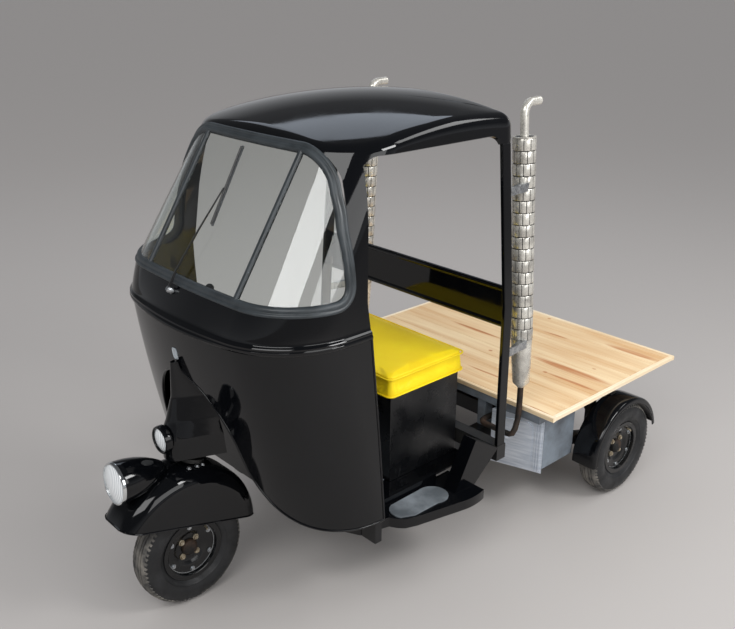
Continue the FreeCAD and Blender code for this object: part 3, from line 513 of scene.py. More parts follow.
def tube(name, points, radius_mm, material, sides=12, closed=False):
    """A round bar through points in metres; the radius may be one value or one for each point."""
    points = [Vector(p) for p in points]
    n, rings, up = len(points), [], None
    radii = radius_mm if isinstance(radius_mm, (list, tuple)) else [radius_mm] * n
    for i, p in enumerate(points):
        before = points[i - 1] if closed or i > 0 else p
        after = points[(i + 1) % n] if closed or i < n - 1 else p
        along = (after - before).normalized()
        up = along.orthogonal().normalized() if up is None else (up - along * up.dot(along)).normalized()
        side = along.cross(up)
        turns = [2.0 * math.pi * k / sides for k in range(sides)]
        rings.append([p + (up * math.cos(t) + side * math.sin(t)) * radii[i] / 1000.0 for t in turns])
    return bar(name, rings, material, closed)


def bar(name, rings, material, closed=False, angle=40.0):
    """A solid bar through rings of points."""
    sides, n = len(rings[0]), len(rings)
    flat, faces = [q for ring in rings for q in ring], []
    for i in range(n if closed else n - 1):
        j = (i + 1) % n
        for k in range(sides):
            m = (k + 1) % sides
            faces.append((i * sides + k, i * sides + m, j * sides + m, j * sides + k))
    if not closed:
        faces += [tuple(range(sides)), tuple(range((n - 1) * sides, n * sides))]
    return settle(from_faces(name, flat, faces, material), angle)


edge = [rows[i][0] for i in range(40, 0, -1)] + rows[0] + [rows[i][-1] for i in range(1, 41)]
fix(tube("front_shell_bead", edge, 4.0, cab_enamel, 10), "body", "black_paint")

# Cowl of the cab.
# A second pressing from the belt to the windscreen. Its foot is swaged to a rounded belt rib
# that laps over the shell, and both are painted together.
cowl_row = outlines(((BELT_Z, 0.0, 512.0, 1200.0, 300.0), (WAIST_Z, 62.0, 501.0, 4000.0, 235.0)))
rib = [(1046.0, 0.5), (1047.0, 4.5), (1050.0, 7.0), (1054.0, 8.2), (1060.0, 8.4), (1063.0, 6.6),
       (1065.0, 6.2), (1067.0, 7.0), (1070.0, 7.6), (1073.0, 6.0), (1076.0, 2.5), (1078.0, 0.6),
       (1081.0, 0.0)]
rib += [(1081.0 + 84.0 * i / 12.0, 0.0) for i in range(1, 13)]


def on_cowl(a, z, out=0.0):
    """A place on the cowl's surface, or out from it."""
    return spot(*plan(cowl_row(max(z, BELT_Z)), a, post_rear(z), out), z)


grid = [[(a, z, out) for a in stations] for z, out in rib]
pressing("cowl_skin", grid, on_cowl, STEEL_T, cab_enamel, "black_paint", "cowl")

# Windscreen rubber.
# The opening between cowl, door posts and roof is lined with one moulded rubber section that
# grips the panes. Two rubber-faced bars divide the panes.
screen_row = outlines(((WAIST_Z, 62.0, 501.0, 4000.0, 235.0), (1760.0, 443.0, 443.4, 4000.0, 216.0)))
GASKET_W, SCREEN_FOOT_Z, SCREEN_TOP_Z, SHOULDER_Z, BAR_X = 37.0, 1161.0, 1638.0, 1395.0, 255.0


def station_where(z, wanted, value):
    """The place on the left of the screen's outline at a height where x (0) or y (1) reaches a value."""
    row, low, high = screen_row(z), 0.0, 2.5
    for _ in range(26):
        middle = 0.5 * (low + high)
        low, high = (middle, high) if plan(row, middle)[wanted] < value else (low, middle)
    return 0.5 * (low + high)


def opening_edge(inset):
    """A function that gives where the windscreen opening ends at a height, on the left."""
    rear, foot, top, bend = 366.0 - inset, SCREEN_FOOT_Z + inset, SCREEN_TOP_Z - inset, 75.0 - inset
    lean = bend * (1.0 - math.sqrt(0.5))
    side = curve_through((foot, rear - bend), ((foot + lean, rear - lean), (foot + bend, rear)),
                         (SHOULDER_Z, rear), (1580.0, rear + 30.0), (top, rear + 60.0))
    over = [Vector((485.0 - inset, SHOULDER_Z))] + curve_through(
        (428.0 - inset, 1512.0 - 0.3 * inset),
        ((343.0 - 0.6 * inset, 1611.0 - 0.8 * inset), (270.0 - 0.4 * inset, top)), count=24)

    def end(z):
        ends = [station_where(z, 1, value_on(side, z))]
        if z > SHOULDER_Z:
            ends.append(station_where(z, 0, value_on(over, z, 1, 0)))
        return min(ends)
    return end


def skin(a, z, out=0.0):
    """A place on the screen's surface, or out from it."""
    return spot(*plan(screen_row(z), a, 700.0, out), z)


def skin_normal(a, z):
    """The way out of the screen's surface."""
    u = skin(a + 0.01, z) - skin(a - 0.01, z)
    v = skin(a, z + 2.0) - skin(a, z - 2.0)
    return (u * 1000.0).cross(v * 1000.0).normalized()


def opening_path(inset, step=8.0):
    """The opening's outline on the screen's surface, as evenly spaced places (a, z), anticlockwise."""
    foot, top, end = SCREEN_FOOT_Z + inset, SCREEN_TOP_Z - inset, opening_edge(inset)
    right = [(end(foot) * i / 20.0, foot) for i in range(20)]
    heights = [foot + (top - foot) * (0.5 - 0.5 * math.cos(math.pi * i / 90.0)) for i in range(91)]
    right += [(end(z), z) for z in heights]
    right += [(right[-1][0] * (1.0 - i / 20.0), top) for i in range(1, 21)]
    loop = right + [(-a, z) for a, z in reversed(right[1:-1])]
    loop.append(loop[0])
    points = [skin(a, z) for a, z in loop]
    marks = [0.0]
    for p, q in zip(points, points[1:]):
        marks.append(marks[-1] + (q - p).length)
    count = int(marks[-1] * 1000.0 / step)
    spaced = [marks[-1] * i / count for i in range(count)]
    return [tuple(float(np.interp(d, marks, [q[i] for q in loop])) for i in (0, 1)) for d in spaced]


# Moulded rubber, grey and slightly chalky: a dull sheen along its rounded top
gasket_rubber = surface(
    "moulded_grey_rubber", "#3C4246", 0.45,
    tint=((40.0, 5.0), 0.35, 0.7, "#272C2F", "#393F43"),
    sheen=((40.0, 5.0), 0.35, 0.7, 0.34, 0.5),
    relief=((1.2,), 0.05, 0.4),
)

# Columns: across the section towards the panes, out from the skin
section = ((-18.4, -9.0), (-18.4, 2.0), (-16.5, 5.0), (-12.5, 6.8), (-8.0, 6.2), (-5.5, 4.2), (-3.0, 4.6),
           (0.0, 6.6), (5.0, 7.4), (10.0, 6.4), (14.0, 3.6), (16.8, -0.5), (18.2, -5.0), (18.2, -9.0))
path = opening_path(0.5 * GASKET_W)
places, normals = [skin(a, z) for a, z in path], [skin_normal(a, z) for a, z in path]
for _ in range(4):
    places = [(places[i - 1] + places[i] * 2.0 + places[(i + 1) % len(places)]) / 4.0
              for i in range(len(places))]
rings = []
for i, (p, n) in enumerate(zip(places, normals)):
    along = (places[(i + 1) % len(places)] - places[i - 1]).normalized()
    inward = n.cross(along).normalized()
    rings.append([p + (inward * b + n * h) / 1000.0 for b, h in section])
fix(bar("windscreen_gasket", rings, gasket_rubber, closed=True, angle=50.0), "body", "gasket_rubber",
    "windscreen_rubber")

bar_section = ((-10.0, -9.0), (-10.0, 0.0), (-8.0, 3.5), (-3.0, 5.6), (3.0, 5.6), (8.0, 3.5), (10.0, 0.0),
               (10.0, -9.0))
for side, label in SIDES:
    rings = []
    for z in np.linspace(1188.0, 1614.0, 41):
        a = side * station_where(z, 0, BAR_X)
        n, along = skin_normal(a, z), (skin(a, z + 3.0) - skin(a, z - 3.0)).normalized()
        across = along.cross(n)
        rings.append([skin(a, z) + (across * b + n * h) / 1000.0 for b, h in bar_section])
    fix(bar(f"windscreen_bar_{label}", rings, gasket_rubber, angle=50.0), "body", "gasket_rubber")

# Windscreen panes.
# Three toughened panes, a flat one between two bent ones, 5 mm thick and faintly green from the
# iron in the glass, with a thin film of dust.
screen_glass, tree, shader, place = start_material("toughened_float_glass", "#F5FAF7", 0.0, ior=1.52)
shader.inputs["Transmission Weight"].default_value = 1.0
tree.links.new(span(tree, grain(tree, place, 120.0, 6.0), 0.5, 0.8, 0.0, 0.05), shader.inputs["Roughness"])
pane_end = opening_edge(21.0)
grid = [[(pane_end(z) * (j / 60.0 - 1.0), z, -2.0) for j in range(121)]
        for z in np.linspace(1183.0, 1616.0, 61)]
pressing("windscreen_panes", grid, skin, PANE_T, screen_glass, "window_glass", "windscreen_glass")

# Wiper.
# One arm on a spindle through the cowl, with a rubber blade in a steel channel, parked upright on
# the middle pane. Black enamel on steel.
wiper_black = surface("wiper_black_enamel", "#101113", 0.3, tint=((15.0,), 0.4, 0.7, "#0D0E10", "#1B1C1E"))


def on_screen(x, z, out):
    """A place on the windscreen at a height, x from the middle, out from the skin."""
    a = math.copysign(station_where(z, 0, abs(x)), x)
    return skin(a, z) + skin_normal(a, z) * out / 1000.0


ARM = ((-57.0, 1146.0, 16.0), (-50.0, 1190.0, 22.0), (-22.0, 1325.0, 26.0), (0.0, 1460.0, 18.0))
fix(tube("wiper_arm", [on_screen(*place) for place in ARM], (5.0, 4.5, 3.2, 2.6), wiper_black, 8), "body",
    "black_paint")
blade = [on_screen(11.0 - 21.0 * t, 1355.0 + 230.0 * t, 13.0) for t in np.linspace(0.0, 1.0, 12)]
fix(tube("wiper_blade_channel", blade, 4.0, wiper_black, 6), "body", "black_paint")
lip = [on_screen(11.0 - 21.0 * t, 1352.0 + 236.0 * t, 7.0) for t in np.linspace(0.0, 1.0, 12)]
fix(tube("wiper_blade_lip", lip, 4.2, gasket_rubber, 6), "body", "gasket_rubber")
pivot = on_screen(-57.0, 1146.0, 0.0)
out = skin_normal(-0.1, 1150.0)
fix(tube("wiper_spindle", [pivot, pivot + out * 0.016, pivot + out * 0.022], (13.0, 11.0, 7.0), zinc, 20),
    "body", "black_paint")

# Door posts of the cab.
# Each runs up from the cowl between the gasket and the doorway, pressed in one with the cowl's
# corner, and its rear edge is turned in.
post_start = opening_edge(3.0)
for side, label in SIDES:
    grid = []
    for z in np.linspace(1162.0, 1572.5, 61):
        start, cy, rear = post_start(z), plan(screen_row(z), 1.5)[1], post_rear(z)
        end = station_where(z, 1, rear) if cy > rear else 1.5 + (rear - cy) / (700.0 - cy)
        grid.append([(side * (start + (end - start) * j / 10.0), z, 0.0) for j in range(11)])
    nodes = ("windscreen_surround",) if side > 0.0 else ()
    pressing(f"door_post_{label}", grid, skin, POST_T, cab_enamel, "black_paint", *nodes)

# Roof.
# One deep pressing with a round crown and soft edges. It carries the upper corners of the two
# doorways, and it is sprayed with the cab.
ROOF_REAR_Y, ROOF_CORNER_R, ROOF_ROUND = 1156.0, 60.0, 52.0
ROOF_TOP_Z, CROWN_R, POLE_Y = 1723.0, 2100.0, 800.0
front_corner = curve_through((428.0, 1512.0), ((343.0, 1611.0), (270.0, SCREEN_TOP_Z)), count=24)
door_front = curve_through((449.7, SEAM_Z), ((465.7, 1590.0), (504.7, 1604.0)), count=12)
door_rear = curve_through((1010.0, 1604.0), ((1056.7, 1584.7), (1076.0, 1538.0)), count=24)


def roof_low(x, y, behind):
    """Height of the roof's lower edge at a place of its outline."""
    x = abs(x)
    if y < 449.0 and x < 420.0:
        return (value_on(front_corner, x) if x > 270.0 else SCREEN_TOP_Z) - 5.0
    if behind:
        return 1625.0 if x < 400.0 else SEAM_Z
    if y < 450.0 or y >= 1076.0:
        return SEAM_Z
    return max(SEAM_Z, value_on(door_front if y < 505.0 else door_rear, y))


def roof_outline(z, a):
    """As the cab's outline up to 1.5, then side, rear corner and rear edge up to 4.5."""
    row, side, b = screen_row(z), (1.0 if a >= 0.0 else -1.0), abs(a)
    if b <= 1.5:
        return plan(row, a)
    cy, half, r = plan(row, 1.5)[1], row[1], ROOF_CORNER_R
    if b <= 2.5:
        return side * half, cy + (ROOF_REAR_Y - r - cy) * (b - 1.5)
    if b <= 3.5:
        turn = 0.5 * math.pi * (b - 2.5)
        return side * (half - r + r * math.cos(turn)), ROOF_REAR_Y - r + r * math.sin(turn)
    return side * (half - r) * (4.5 - b), ROOF_REAR_Y


def crown(x, y):
    """The roof's round top."""
    return ROOF_TOP_Z - CROWN_R + math.sqrt(CROWN_R ** 2 - x * x - (y - 900.0) ** 2)


half = []
for first, parts, count in ((0.0, 48, 24), (0.5, 48, 48), (1.5, 90, 90), (2.5, 16, 16), (3.5, 16, 17)):
    half += [first + i / parts for i in range(count)]
loop = [-a for a in reversed(half[1:-1])] + half
low, corners = [], []
for a in loop:
    z = 1650.0
    for _ in range(12):
        z = crown(*roof_outline(z, a))
    x, y = roof_outline(z, a)
    tip, below = Vector((x, y, z)), Vector((*roof_outline(z - 40.0, a), z - 40.0))
    wall_dir = (tip - below).normalized()
    tangent = Vector(roof_outline(z, a + 0.004)) - Vector(roof_outline(z, a - 0.004))
    inward = Vector((-tangent.y, tangent.x)).normalized()
    if inward.dot(Vector((-x, POLE_Y - y))) < 0.0:
        inward = -inward
    step = Vector((x + 30.0 * inward.x, y + 30.0 * inward.y))
    crown_dir = (Vector((step.x, step.y, crown(step.x, step.y))) - tip).normalized()
    turn = wall_dir.angle(crown_dir)
    reach, foot = ROOF_ROUND * math.tan(0.5 * turn), 1600.0
    for _ in range(12):
        foot = 0.5 * foot + 0.5 * max(roof_low(*roof_outline(foot, a), abs(a) > 2.95), SEAM_Z)
    low.append(min(foot, (tip - wall_dir * reach).z - 1.0))
    corners.append((tip, wall_dir, crown_dir, reach, math.cos(0.5 * turn)))
rings = []
for i in range(6):
    ring = []
    for a, foot, (tip, wall_dir, crown_dir, reach, weight) in zip(loop, low, corners):
        z = foot + ((tip - wall_dir * reach).z - foot) * i / 5.0
        ring.append(Vector((*roof_outline(z, a), z)))
    rings.append(ring)
for t in [i / 10.0 for i in range(1, 11)]:
    ring = []
    for tip, wall_dir, crown_dir, reach, weight in corners:
        p0, p2 = tip - wall_dir * reach, tip + crown_dir * reach
        b0, b1, b2 = (1.0 - t) ** 2, 2.0 * weight * t * (1.0 - t), t * t
        ring.append((p0 * b0 + tip * b1 + p2 * b2) / (b0 + b1 + b2))
    rings.append(ring)
last = rings[-1]
for t in [i / 16.0 for i in range(1, 16)]:
    ring = []
    for p in last:
        x, y = p.x * (1.0 - t), p.y + (POLE_Y - p.y) * t
        ring.append(Vector((x, y, crown(x, y) + (1.0 - t) ** 3 * (p.z - crown(p.x, p.y)))))
    rings.append(ring)
rows, hub = [[spot(*p) for p in ring] for ring in rings], spot(0.0, POLE_Y, 1400.0)
inner = [[hub + (p - hub) * 0.98 for p in row] for row in rows]
pole = spot(0.0, POLE_Y, crown(0.0, POLE_Y))
roof_skin = sheet_metal("roof_skin", rows, 10.0, cab_enamel, closed=True,
                        poles=(pole, hub + (pole - hub) * 0.98), inner=inner)
fix(roof_skin, "body", "black_paint", "roof")

# Rear posts and back beam.
# Two box posts carry the roof behind the seat. Between them a pressed board with rolled edges is
# bolted on tabs, for the driver to lean on. Black enamel as on the cab.
finished("rear_posts", cab_enamel, 3.0, 3)
finished("back_beam", cab_enamel, 1.5)

# Nose of the cab.
# A folded steel cover over the steering column, bolted to the shell's front, with a round marker
# lamp let into it. The cover is sprayed with the cab.
finished("nose_cover", cab_enamel, 2.5, 3)


def round_wheel(t):
    """The way out from a wheel's middle at an angle that starts at the rear and goes over the top."""
    return Vector((0.0, math.cos(t), math.sin(t)))


def lathe(name, outline, centre, axis, material, steps=96, start=0.0, sweep=360.0, angle=40.0):
    """Turns a closed outline (along the axis, distance from it, in millimetres) round an axis.
    For a wheel's axis the turn starts at the rear and goes over the top."""
    axis = Vector(axis).normalized()
    first = Vector((0.0, 1.0, 0.0)) if abs(axis.x) > 0.9 else axis.cross(Vector((1.0, 0.0, 0.0))).normalized()
    second = Vector((1.0, 0.0, 0.0)).cross(first) if abs(axis.x) > 0.9 else axis.cross(first)
    full, rings = sweep >= 360.0, []
    for i in range(steps if full else steps + 1):
        t = math.radians(start + sweep * i / steps)
        out = first * math.cos(t) + second * math.sin(t)
        rings.append([centre + (axis * a + out * r) / 1000.0 for a, r in outline])
    return bar(name, rings, material, full, angle)


# Pressed lens glass over a bright reflector: whitish, with upright flutes about 10 mm apart
lens_glass, tree, shader, place = start_material("pressed_lens_glass", "#EEF1F2", 0.12)
flutes = bands(tree, place, 9.86)
# Painted shade: the colour darkens in each flute's valley and lightens on its crest, as light falls across
# the flutes
tree.links.new(blend(tree, flutes, 0.2, 0.9, "#C9CED1", "#F4F6F6"), shader.inputs["Base Color"])
emboss(tree, shader, flutes, 0.8, 0.7)

# Bright rim of the lamps: chromed brass, a clean reflection with fine wiping marks
chrome = surface("chromed_brass", "#D9DCDD", 0.08, metallic=1.0, sheen=((20.0, 5.0), 0.35, 0.7, 0.04, 0.16))

front = (0.0, -1.0, 0.0)
dome = [(0.0, 41.0), (2.0, 41.0), (5.0, 36.0), (8.0, 28.0), (10.0, 18.0), (11.0, 8.0), (11.2, 0.0),
        (0.0, 0.0)]
fix(lathe("nose_lamp_lens", dome, spot(0.0, -66.0, 659.0), front, lens_glass, 64), "body", "lamp_glass",
    "nose_lamp")
ring = [(-14.0, 41.2), (0.0, 41.2), (7.5, 40.6), (10.0, 42.0), (10.5, 44.5), (8.5, 47.5), (3.0, 49.0),
        (-14.0, 49.0)]
fix(lathe("nose_lamp_bezel", ring, spot(0.0, -66.0, 659.0), front, cab_enamel, 64), "body", "black_paint")

# Badge plate.
# A small blank plate of brushed aluminium with a rolled rim, riveted to the middle of the shell's
# front over the nose.
badge_sheet = surface(
    "brushed_aluminium_plate", "#C4CDD3", 0.34, metallic=0.6,
    tint=((3.0, 3.0, (1.0, 1.0, 12.0)), 0.35, 0.7, "#B4BEC6", "#D6DDE1"),
)
rings = []
for shrink, lift in ((0.0, 0.0), (0.0, 2.4), (1.5, 3.4), (3.5, 3.4), (5.0, 2.4)):
    ring = []
    for k in range(32):
        t = 2.0 * math.pi * k / 32
        u = math.copysign(abs(math.cos(t)) ** 0.55, math.cos(t)) * (14.0 - shrink)
        z = 951.0 + math.copysign(abs(math.sin(t)) ** 0.55, math.sin(t)) * (21.0 - shrink)
        ring.append(spot(u, plan(shell_row(z), 0.0)[1] + u * u / 2400.0 - lift, z))
    rings.append(ring)
fix(bar("badge_plate", rings, badge_sheet, angle=30.0), "body", "embossed_sheet")

# Seat.
# A folded steel box stands on the floor, and on it lies a loose cushion: foam in yellow vinyl with
# welted seams. Two sprung catches hold the cushion's front.
seat_paint = surface(
    "seat_box_black_paint", "#0C0D0F", 0.3,
    sheen=((50.0, 5.0), 0.35, 0.7, 0.22, 0.42),
    relief=((8.0, 2.0), 0.05, 0.4),
)
finished("seat_base", seat_paint, 2.5)

# Yellow upholstery vinyl: fine leather grain about 1 mm across, slightly darker in its hollows
vinyl, tree, shader, place = start_material("yellow_upholstery_vinyl", "#F8D81A", 0.5)
shader.inputs["Specular IOR Level"].default_value = 0.3
tree.links.new(blend(tree, grain(tree, place, 90.0, 4.0), 0.35, 0.7, "#F6D314", "#FBE01C"),
               shader.inputs["Base Color"])
cells = add(tree, "ShaderNodeTexVoronoi", {"Vector": place, "Scale": 900.0}, feature="DISTANCE_TO_EDGE")
emboss(tree, shader, cells.outputs["Distance"], 0.25, 0.5)

source = frame["nodes"]["seat_cushion"]
cushion = put("seat_cushion_vinyl", source.data.copy())
cushion.data.materials.clear()
cushion.data.materials.append(vinyl)
FOAM, SWELL_M, CLOTH_FRAMES = (0.984, 0.975, 0.88), 0.007, 20
middle = spot(0.0, 870.0, 723.3)
for vertex in cushion.data.vertices:
    away = vertex.co - middle
    vertex.co = middle + Vector([along * share for along, share in zip(away, FOAM)])
remesh = cushion.modifiers.new("even", "REMESH")
remesh.mode, remesh.voxel_size = "VOXEL", 0.006
cushion = settle(cushion, 180.0)
before = [v.co.copy() for v in cushion.data.vertices]
foot = cushion.vertex_groups.new(name="foot")
low_z = min(v.co.z for v in cushion.data.vertices)
foot.add([v.index for v in cushion.data.vertices if v.co.z < low_z + 0.004], 1.0, "REPLACE")
cloth = cushion.modifiers.new("stuffing", "CLOTH")
cloth.settings.use_pressure = True
cloth.settings.uniform_pressure_force = 4.0
cloth.settings.effector_weights.gravity = 0.0
cloth.settings.vertex_group_mass = "foot"
cloth.settings.quality = 5
scene = bpy.context.scene
for number in range(1, CLOTH_FRAMES + 1):
    scene.frame_set(number)
blown = bake(cushion)
cushion.vertex_groups.clear()
scene.frame_set(1)
for vertex, old in zip(blown.vertices, before):
    move = vertex.co - old
    if move.length > SWELL_M:
        vertex.co = old + move.normalized() * SWELL_M
cushion.data = blown
for face in cushion.data.polygons:
    face.use_smooth = True
fix(cushion, "body", "yellow_vinyl", "seat_cushion")
for label, z in (("top", 757.0), ("foot", 688.0)):
    points = []
    for cx, cy, t0 in ((312.0, 1044.0, 0.0), (-312.0, 1044.0, 90.0), (-312.0, 696.0, 180.0),
                       (312.0, 696.0, 270.0)):
        for i in range(7):
            t = math.radians(t0 + 15.0 * i)
            points.append(spot(cx + 26.0 * math.cos(t), cy + 26.0 * math.sin(t), z))
    fix(tube(f"cushion_welt_{label}", points, 3.2, vinyl, 8, closed=True), "body", "yellow_vinyl")
for x in (-190.0, 190.0):
    side = "left" if x > 0.0 else "right"
    strap = [spot(x, y, z) for y, z in ((685.0, 640.0), (682.0, 660.0), (683.0, 672.0))]
    fix(tube(f"seat_catch_{side}", strap, 7.0, zinc, 10), "body", "seat_base_black")

# Brake pedal.
# A forged lever that stands on the floor, with a flat pad. It has the chassis's black paint.
finished("brake_pedal", chassis_paint, 2.0)

# Front guard.
# A drum-shaped hood of pressed steel over the front wheel, closed at both sides. It is cut off
# in a straight line whose edge is wired round a bead, and it steers with the wheel.
HOOD_Y, HOOD_Z, HOOD_R = -32.0, 268.0, 282.0
SKIRT_ANGLE, SKIRT_SLOPE = math.radians(32.0), 0.279
FRONT_Y = HOOD_Y - HOOD_R * math.cos(SKIRT_ANGLE)


def skirt_z(y):
    """Height of the skirt's lower edge, which drops to the rear."""
    return HOOD_Z + HOOD_R * math.sin(SKIRT_ANGLE) - SKIRT_SLOPE * (y - FRONT_Y)


round_edge = [(-96.0 + 60.0 * (1.0 - math.cos(math.radians(t))), 222.0 + 60.0 * math.sin(math.radians(t)))
              for t in range(0, 91, 9)]
outside = [(-96.0, 0.0), (-96.0, 60.0), (-96.0, 150.0)] + round_edge + [(-18.0, 282.0), (0.0, 282.0)]
outside += [(-a, r) for a, r in reversed(outside[:-1])]
inside = [(a * 92.0 / 96.0, r * 278.0 / 282.0) for a, r in reversed(outside)]
hood = lathe("front_guard_hood", outside + inside, spot(0.0, HOOD_Y, HOOD_Z), (1.0, 0.0, 0.0), cab_enamel,
             144)
work = bmesh.new()
work.from_mesh(hood.data)
cut_at, cut_way = spot(0.0, FRONT_Y, skirt_z(FRONT_Y)), Vector((0.0, SKIRT_SLOPE, 1.0)).normalized()
bmesh.ops.bisect_plane(work, geom=work.verts[:] + work.edges[:] + work.faces[:], dist=0.000001,
                       plane_co=cut_at, plane_no=cut_way, clear_inner=True, clear_outer=False)
rim = [e for e in work.edges if len(e.link_faces) == 1]
bmesh.ops.bridge_loops(work, edges=rim)
work.to_mesh(hood.data)
work.free()
fix(settle(hood, 36.0), "steering", "black_paint", "front_guard")


# The wired edge follows the cut: down one side, round the front, and up the other side
def skirt_points(sign):
    """Places on the cut edge, on the hood's side or on its round front, from the rear to the front."""
    found = []
    for y in np.linspace(HOOD_Y + 262.0, FRONT_Y + 0.6, 70):
        z = skirt_z(y)
        r = math.hypot(y - HOOD_Y, z - HOOD_Z)
        a = 96.0 if r < 222.0 else 36.0 + math.sqrt(max(3600.0 - (r - 222.0) ** 2, 0.0))
        if r < HOOD_R:
            found.append(spot(sign * a, y, z))
    return found


skirt_edge = skirt_points(1.0) + list(reversed(skirt_points(-1.0)))
fix(tube("front_guard_bead", skirt_edge, 3.2, cab_enamel, 8), "steering", "black_paint")

# Steering.
# A forged stem with a collar on the guard, a fork leg on the right, and a trailing link that
# carries the axle and a damper. A tubular bar is clamped on top with two ribbed plastic grips.
for name, edge_mm in (("steering_stem", 2.0), ("front_link", 2.0), ("front_damper", 1.0), ("handlebar", 1.5)):
    finished(name, chassis_paint, edge_mm)
grip_plastic = surface(
    "soft_black_grip_plastic", "#141517", 0.6,
    tint=((8.0,), 0.35, 0.7, "#101113", "#1E1F21"),
)
finished("handlebar_grips", grip_plastic, 3.0, 3)

STEER_Y, STEER_Z, BAR_Z = 30.0, 520.0, 1012.0
lean = math.radians(16.0)
bar_top = spot(0.0, STEER_Y + (BAR_Z - STEER_Z) * math.tan(lean), BAR_Z)
for side, label in SIDES:
    from_stem = [Vector((side * 0.115, 0.008, 0.030)), Vector((side * 0.292, 0.172, 0.012))]
    along = (from_stem[1] - from_stem[0]).normalized()
    tip = bar_top + from_stem[1] + along * 0.004
    for i in range(14):
        at = tip - along * (0.012 + 0.0075 * i)
        rib_piece = tube(f"grip_rib_{label}_{i}", [at, at + along * 0.003], 17.2, grip_plastic, 20)
        fix(rib_piece, "steering", "grip_plastic")
    lever = [bar_top + from_stem[0] + along * 0.02 + Vector((0, -0.018, -0.008)),
             bar_top + from_stem[0] + along * 0.07 + Vector((side * 0.012, -0.04, -0.012)),
             bar_top + from_stem[1] + Vector((side * 0.02, -0.05, -0.014))]
    fix(tube(f"hand_lever_{label}", lever, (4.5, 4.0, 4.5), zinc, 8), "steering", "chassis_black")
cap_places = [spot(x, y, HOOD_Z + math.sqrt(HOOD_R ** 2 - (y - HOOD_Y) ** 2) + 1.0)
              for x, y in ((58.0, -4.0), (56.0, 28.0), (48.0, 54.0))]
hood_middle = spot(0.0, HOOD_Y, HOOD_Z)
caps = [Vector((0.0, p.y - hood_middle.y, p.z - hood_middle.z)).normalized() for p in cap_places]
bolts("guard_bolts", cap_places, caps, 6.5, 6.0, zinc, "steering", "chassis_black")

# Headlamp.
# A bullet-shaped steel pod on the guard holds a round lens of pressed glass in a bright ring.
lamp_axis = Vector((0.0, -math.cos(math.radians(3.0)), math.sin(math.radians(3.0))))
lamp_place = spot(0.0, -250.0, 564.0)
pod = [(-192.0, 0.0), (-190.0, 9.0), (-184.0, 18.0)]
pod += [tuple(p) for p in curve_through((-168.0, 32.0), ((-90.0, 64.0), (-6.0, 72.0)), count=18)]
pod += [(-3.0, 71.4), (0.0, 69.5), (0.0, 66.2), (-14.0, 66.2), (-14.0, 0.0)]
made = lathe("headlamp_shell", pod, lamp_place, lamp_axis, cab_enamel, 96)
fix(made, "steering", "black_paint", "headlamp_pod")
dome = [(-13.0, 65.6)] + [(11.0 - 200.0 + math.sqrt(200.0 ** 2 - r * r), r)
                          for r in (65.6, 58.0, 48.0, 36.0, 24.0, 12.0, 0.0)] + [(-13.0, 0.0)]
fix(lathe("headlamp_glass", dome, lamp_place, lamp_axis, lens_glass, 96), "steering", "lamp_glass",
    "headlamp_lens")
ring = [(-4.0, 66.0), (1.0, 65.4), (4.0, 66.2), (5.0, 68.2), (4.0, 70.6), (0.0, 72.4), (-6.0, 73.2),
        (-6.0, 71.0)]
fix(lathe("headlamp_ring", ring, lamp_place, lamp_axis, chrome, 96), "steering", "black_paint")

# Wheels.
# 4.00-8 tyres on split rims of pressed steel, each bolted to an iron brake drum. The rims are
# black enamel, and the tyres carry grey road dust in their tread.
sidewall = surface(
    "tyre_sidewall_rubber", "#1B1C1E", 0.55,
    tint=((45.0, 5.0), 0.4, 0.72, "#111214", "#242527"),
    sheen=((30.0, 4.0), 0.4, 0.7, 0.45, 0.7),
    relief=((1.5,), 0.1, 0.4),
)
tread = surface(
    "dusty_tread_rubber", "#4C4B49", 0.8,
    tint=((25.0, 6.0), 0.35, 0.68, "#2F2F30", "#77736C"),
    relief=((2.5,), 0.3, 0.6),
)

rim_enamel = surface(
    "wheel_black_enamel", "#0E0F11", 0.16,
    tint=((35.0, 5.0), 0.45, 0.75, "#0A0B0D", "#181817"),
    sheen=((25.0, 5.0), 0.4, 0.7, 0.1, 0.35),
)

# Iron that heat and rain have browned, rust in patches about 30 mm across
cast_iron = surface(
    "browned_cast_iron", "#2A2826", 0.7, metallic=0.3,
    tint=((30.0, 6.0), 0.4, 0.7, "#1C1B1A", "#4A382B"),
    relief=((2.5,), 0.3, 0.6),
)
rusty = surface(
    "rusted_nut_steel", "#A89C84", 0.6, metallic=0.5,
    tint=((8.0, 4.0), 0.4, 0.7, "#8A7C66", "#BFB6A2"),
)

# Tread blocks at the shoulders: one tree turns a block to the point's direction
lug_tree, lug_sockets, start = start_tree("shoulder_blocks", (
    ("Size", "NodeSocketVector"), ("Rubber", "NodeSocketMaterial")), "Blocks")
block = add(lug_tree, "GeometryNodeMeshCube", {"Size": start.outputs["Size"]})
level = add(lug_tree, "FunctionNodeAlignRotationToVector", {"Vector": (1.0, 0.0, 0.0)}, axis="X")
turned = add(lug_tree, "FunctionNodeAlignRotationToVector", {
    "Rotation": level.outputs[0], "Vector": facing_way(lug_tree)}, axis="Z", pivot_axis="AUTO")
plant(lug_tree, start, block.outputs["Mesh"], turned, "Rubber", "Blocks")

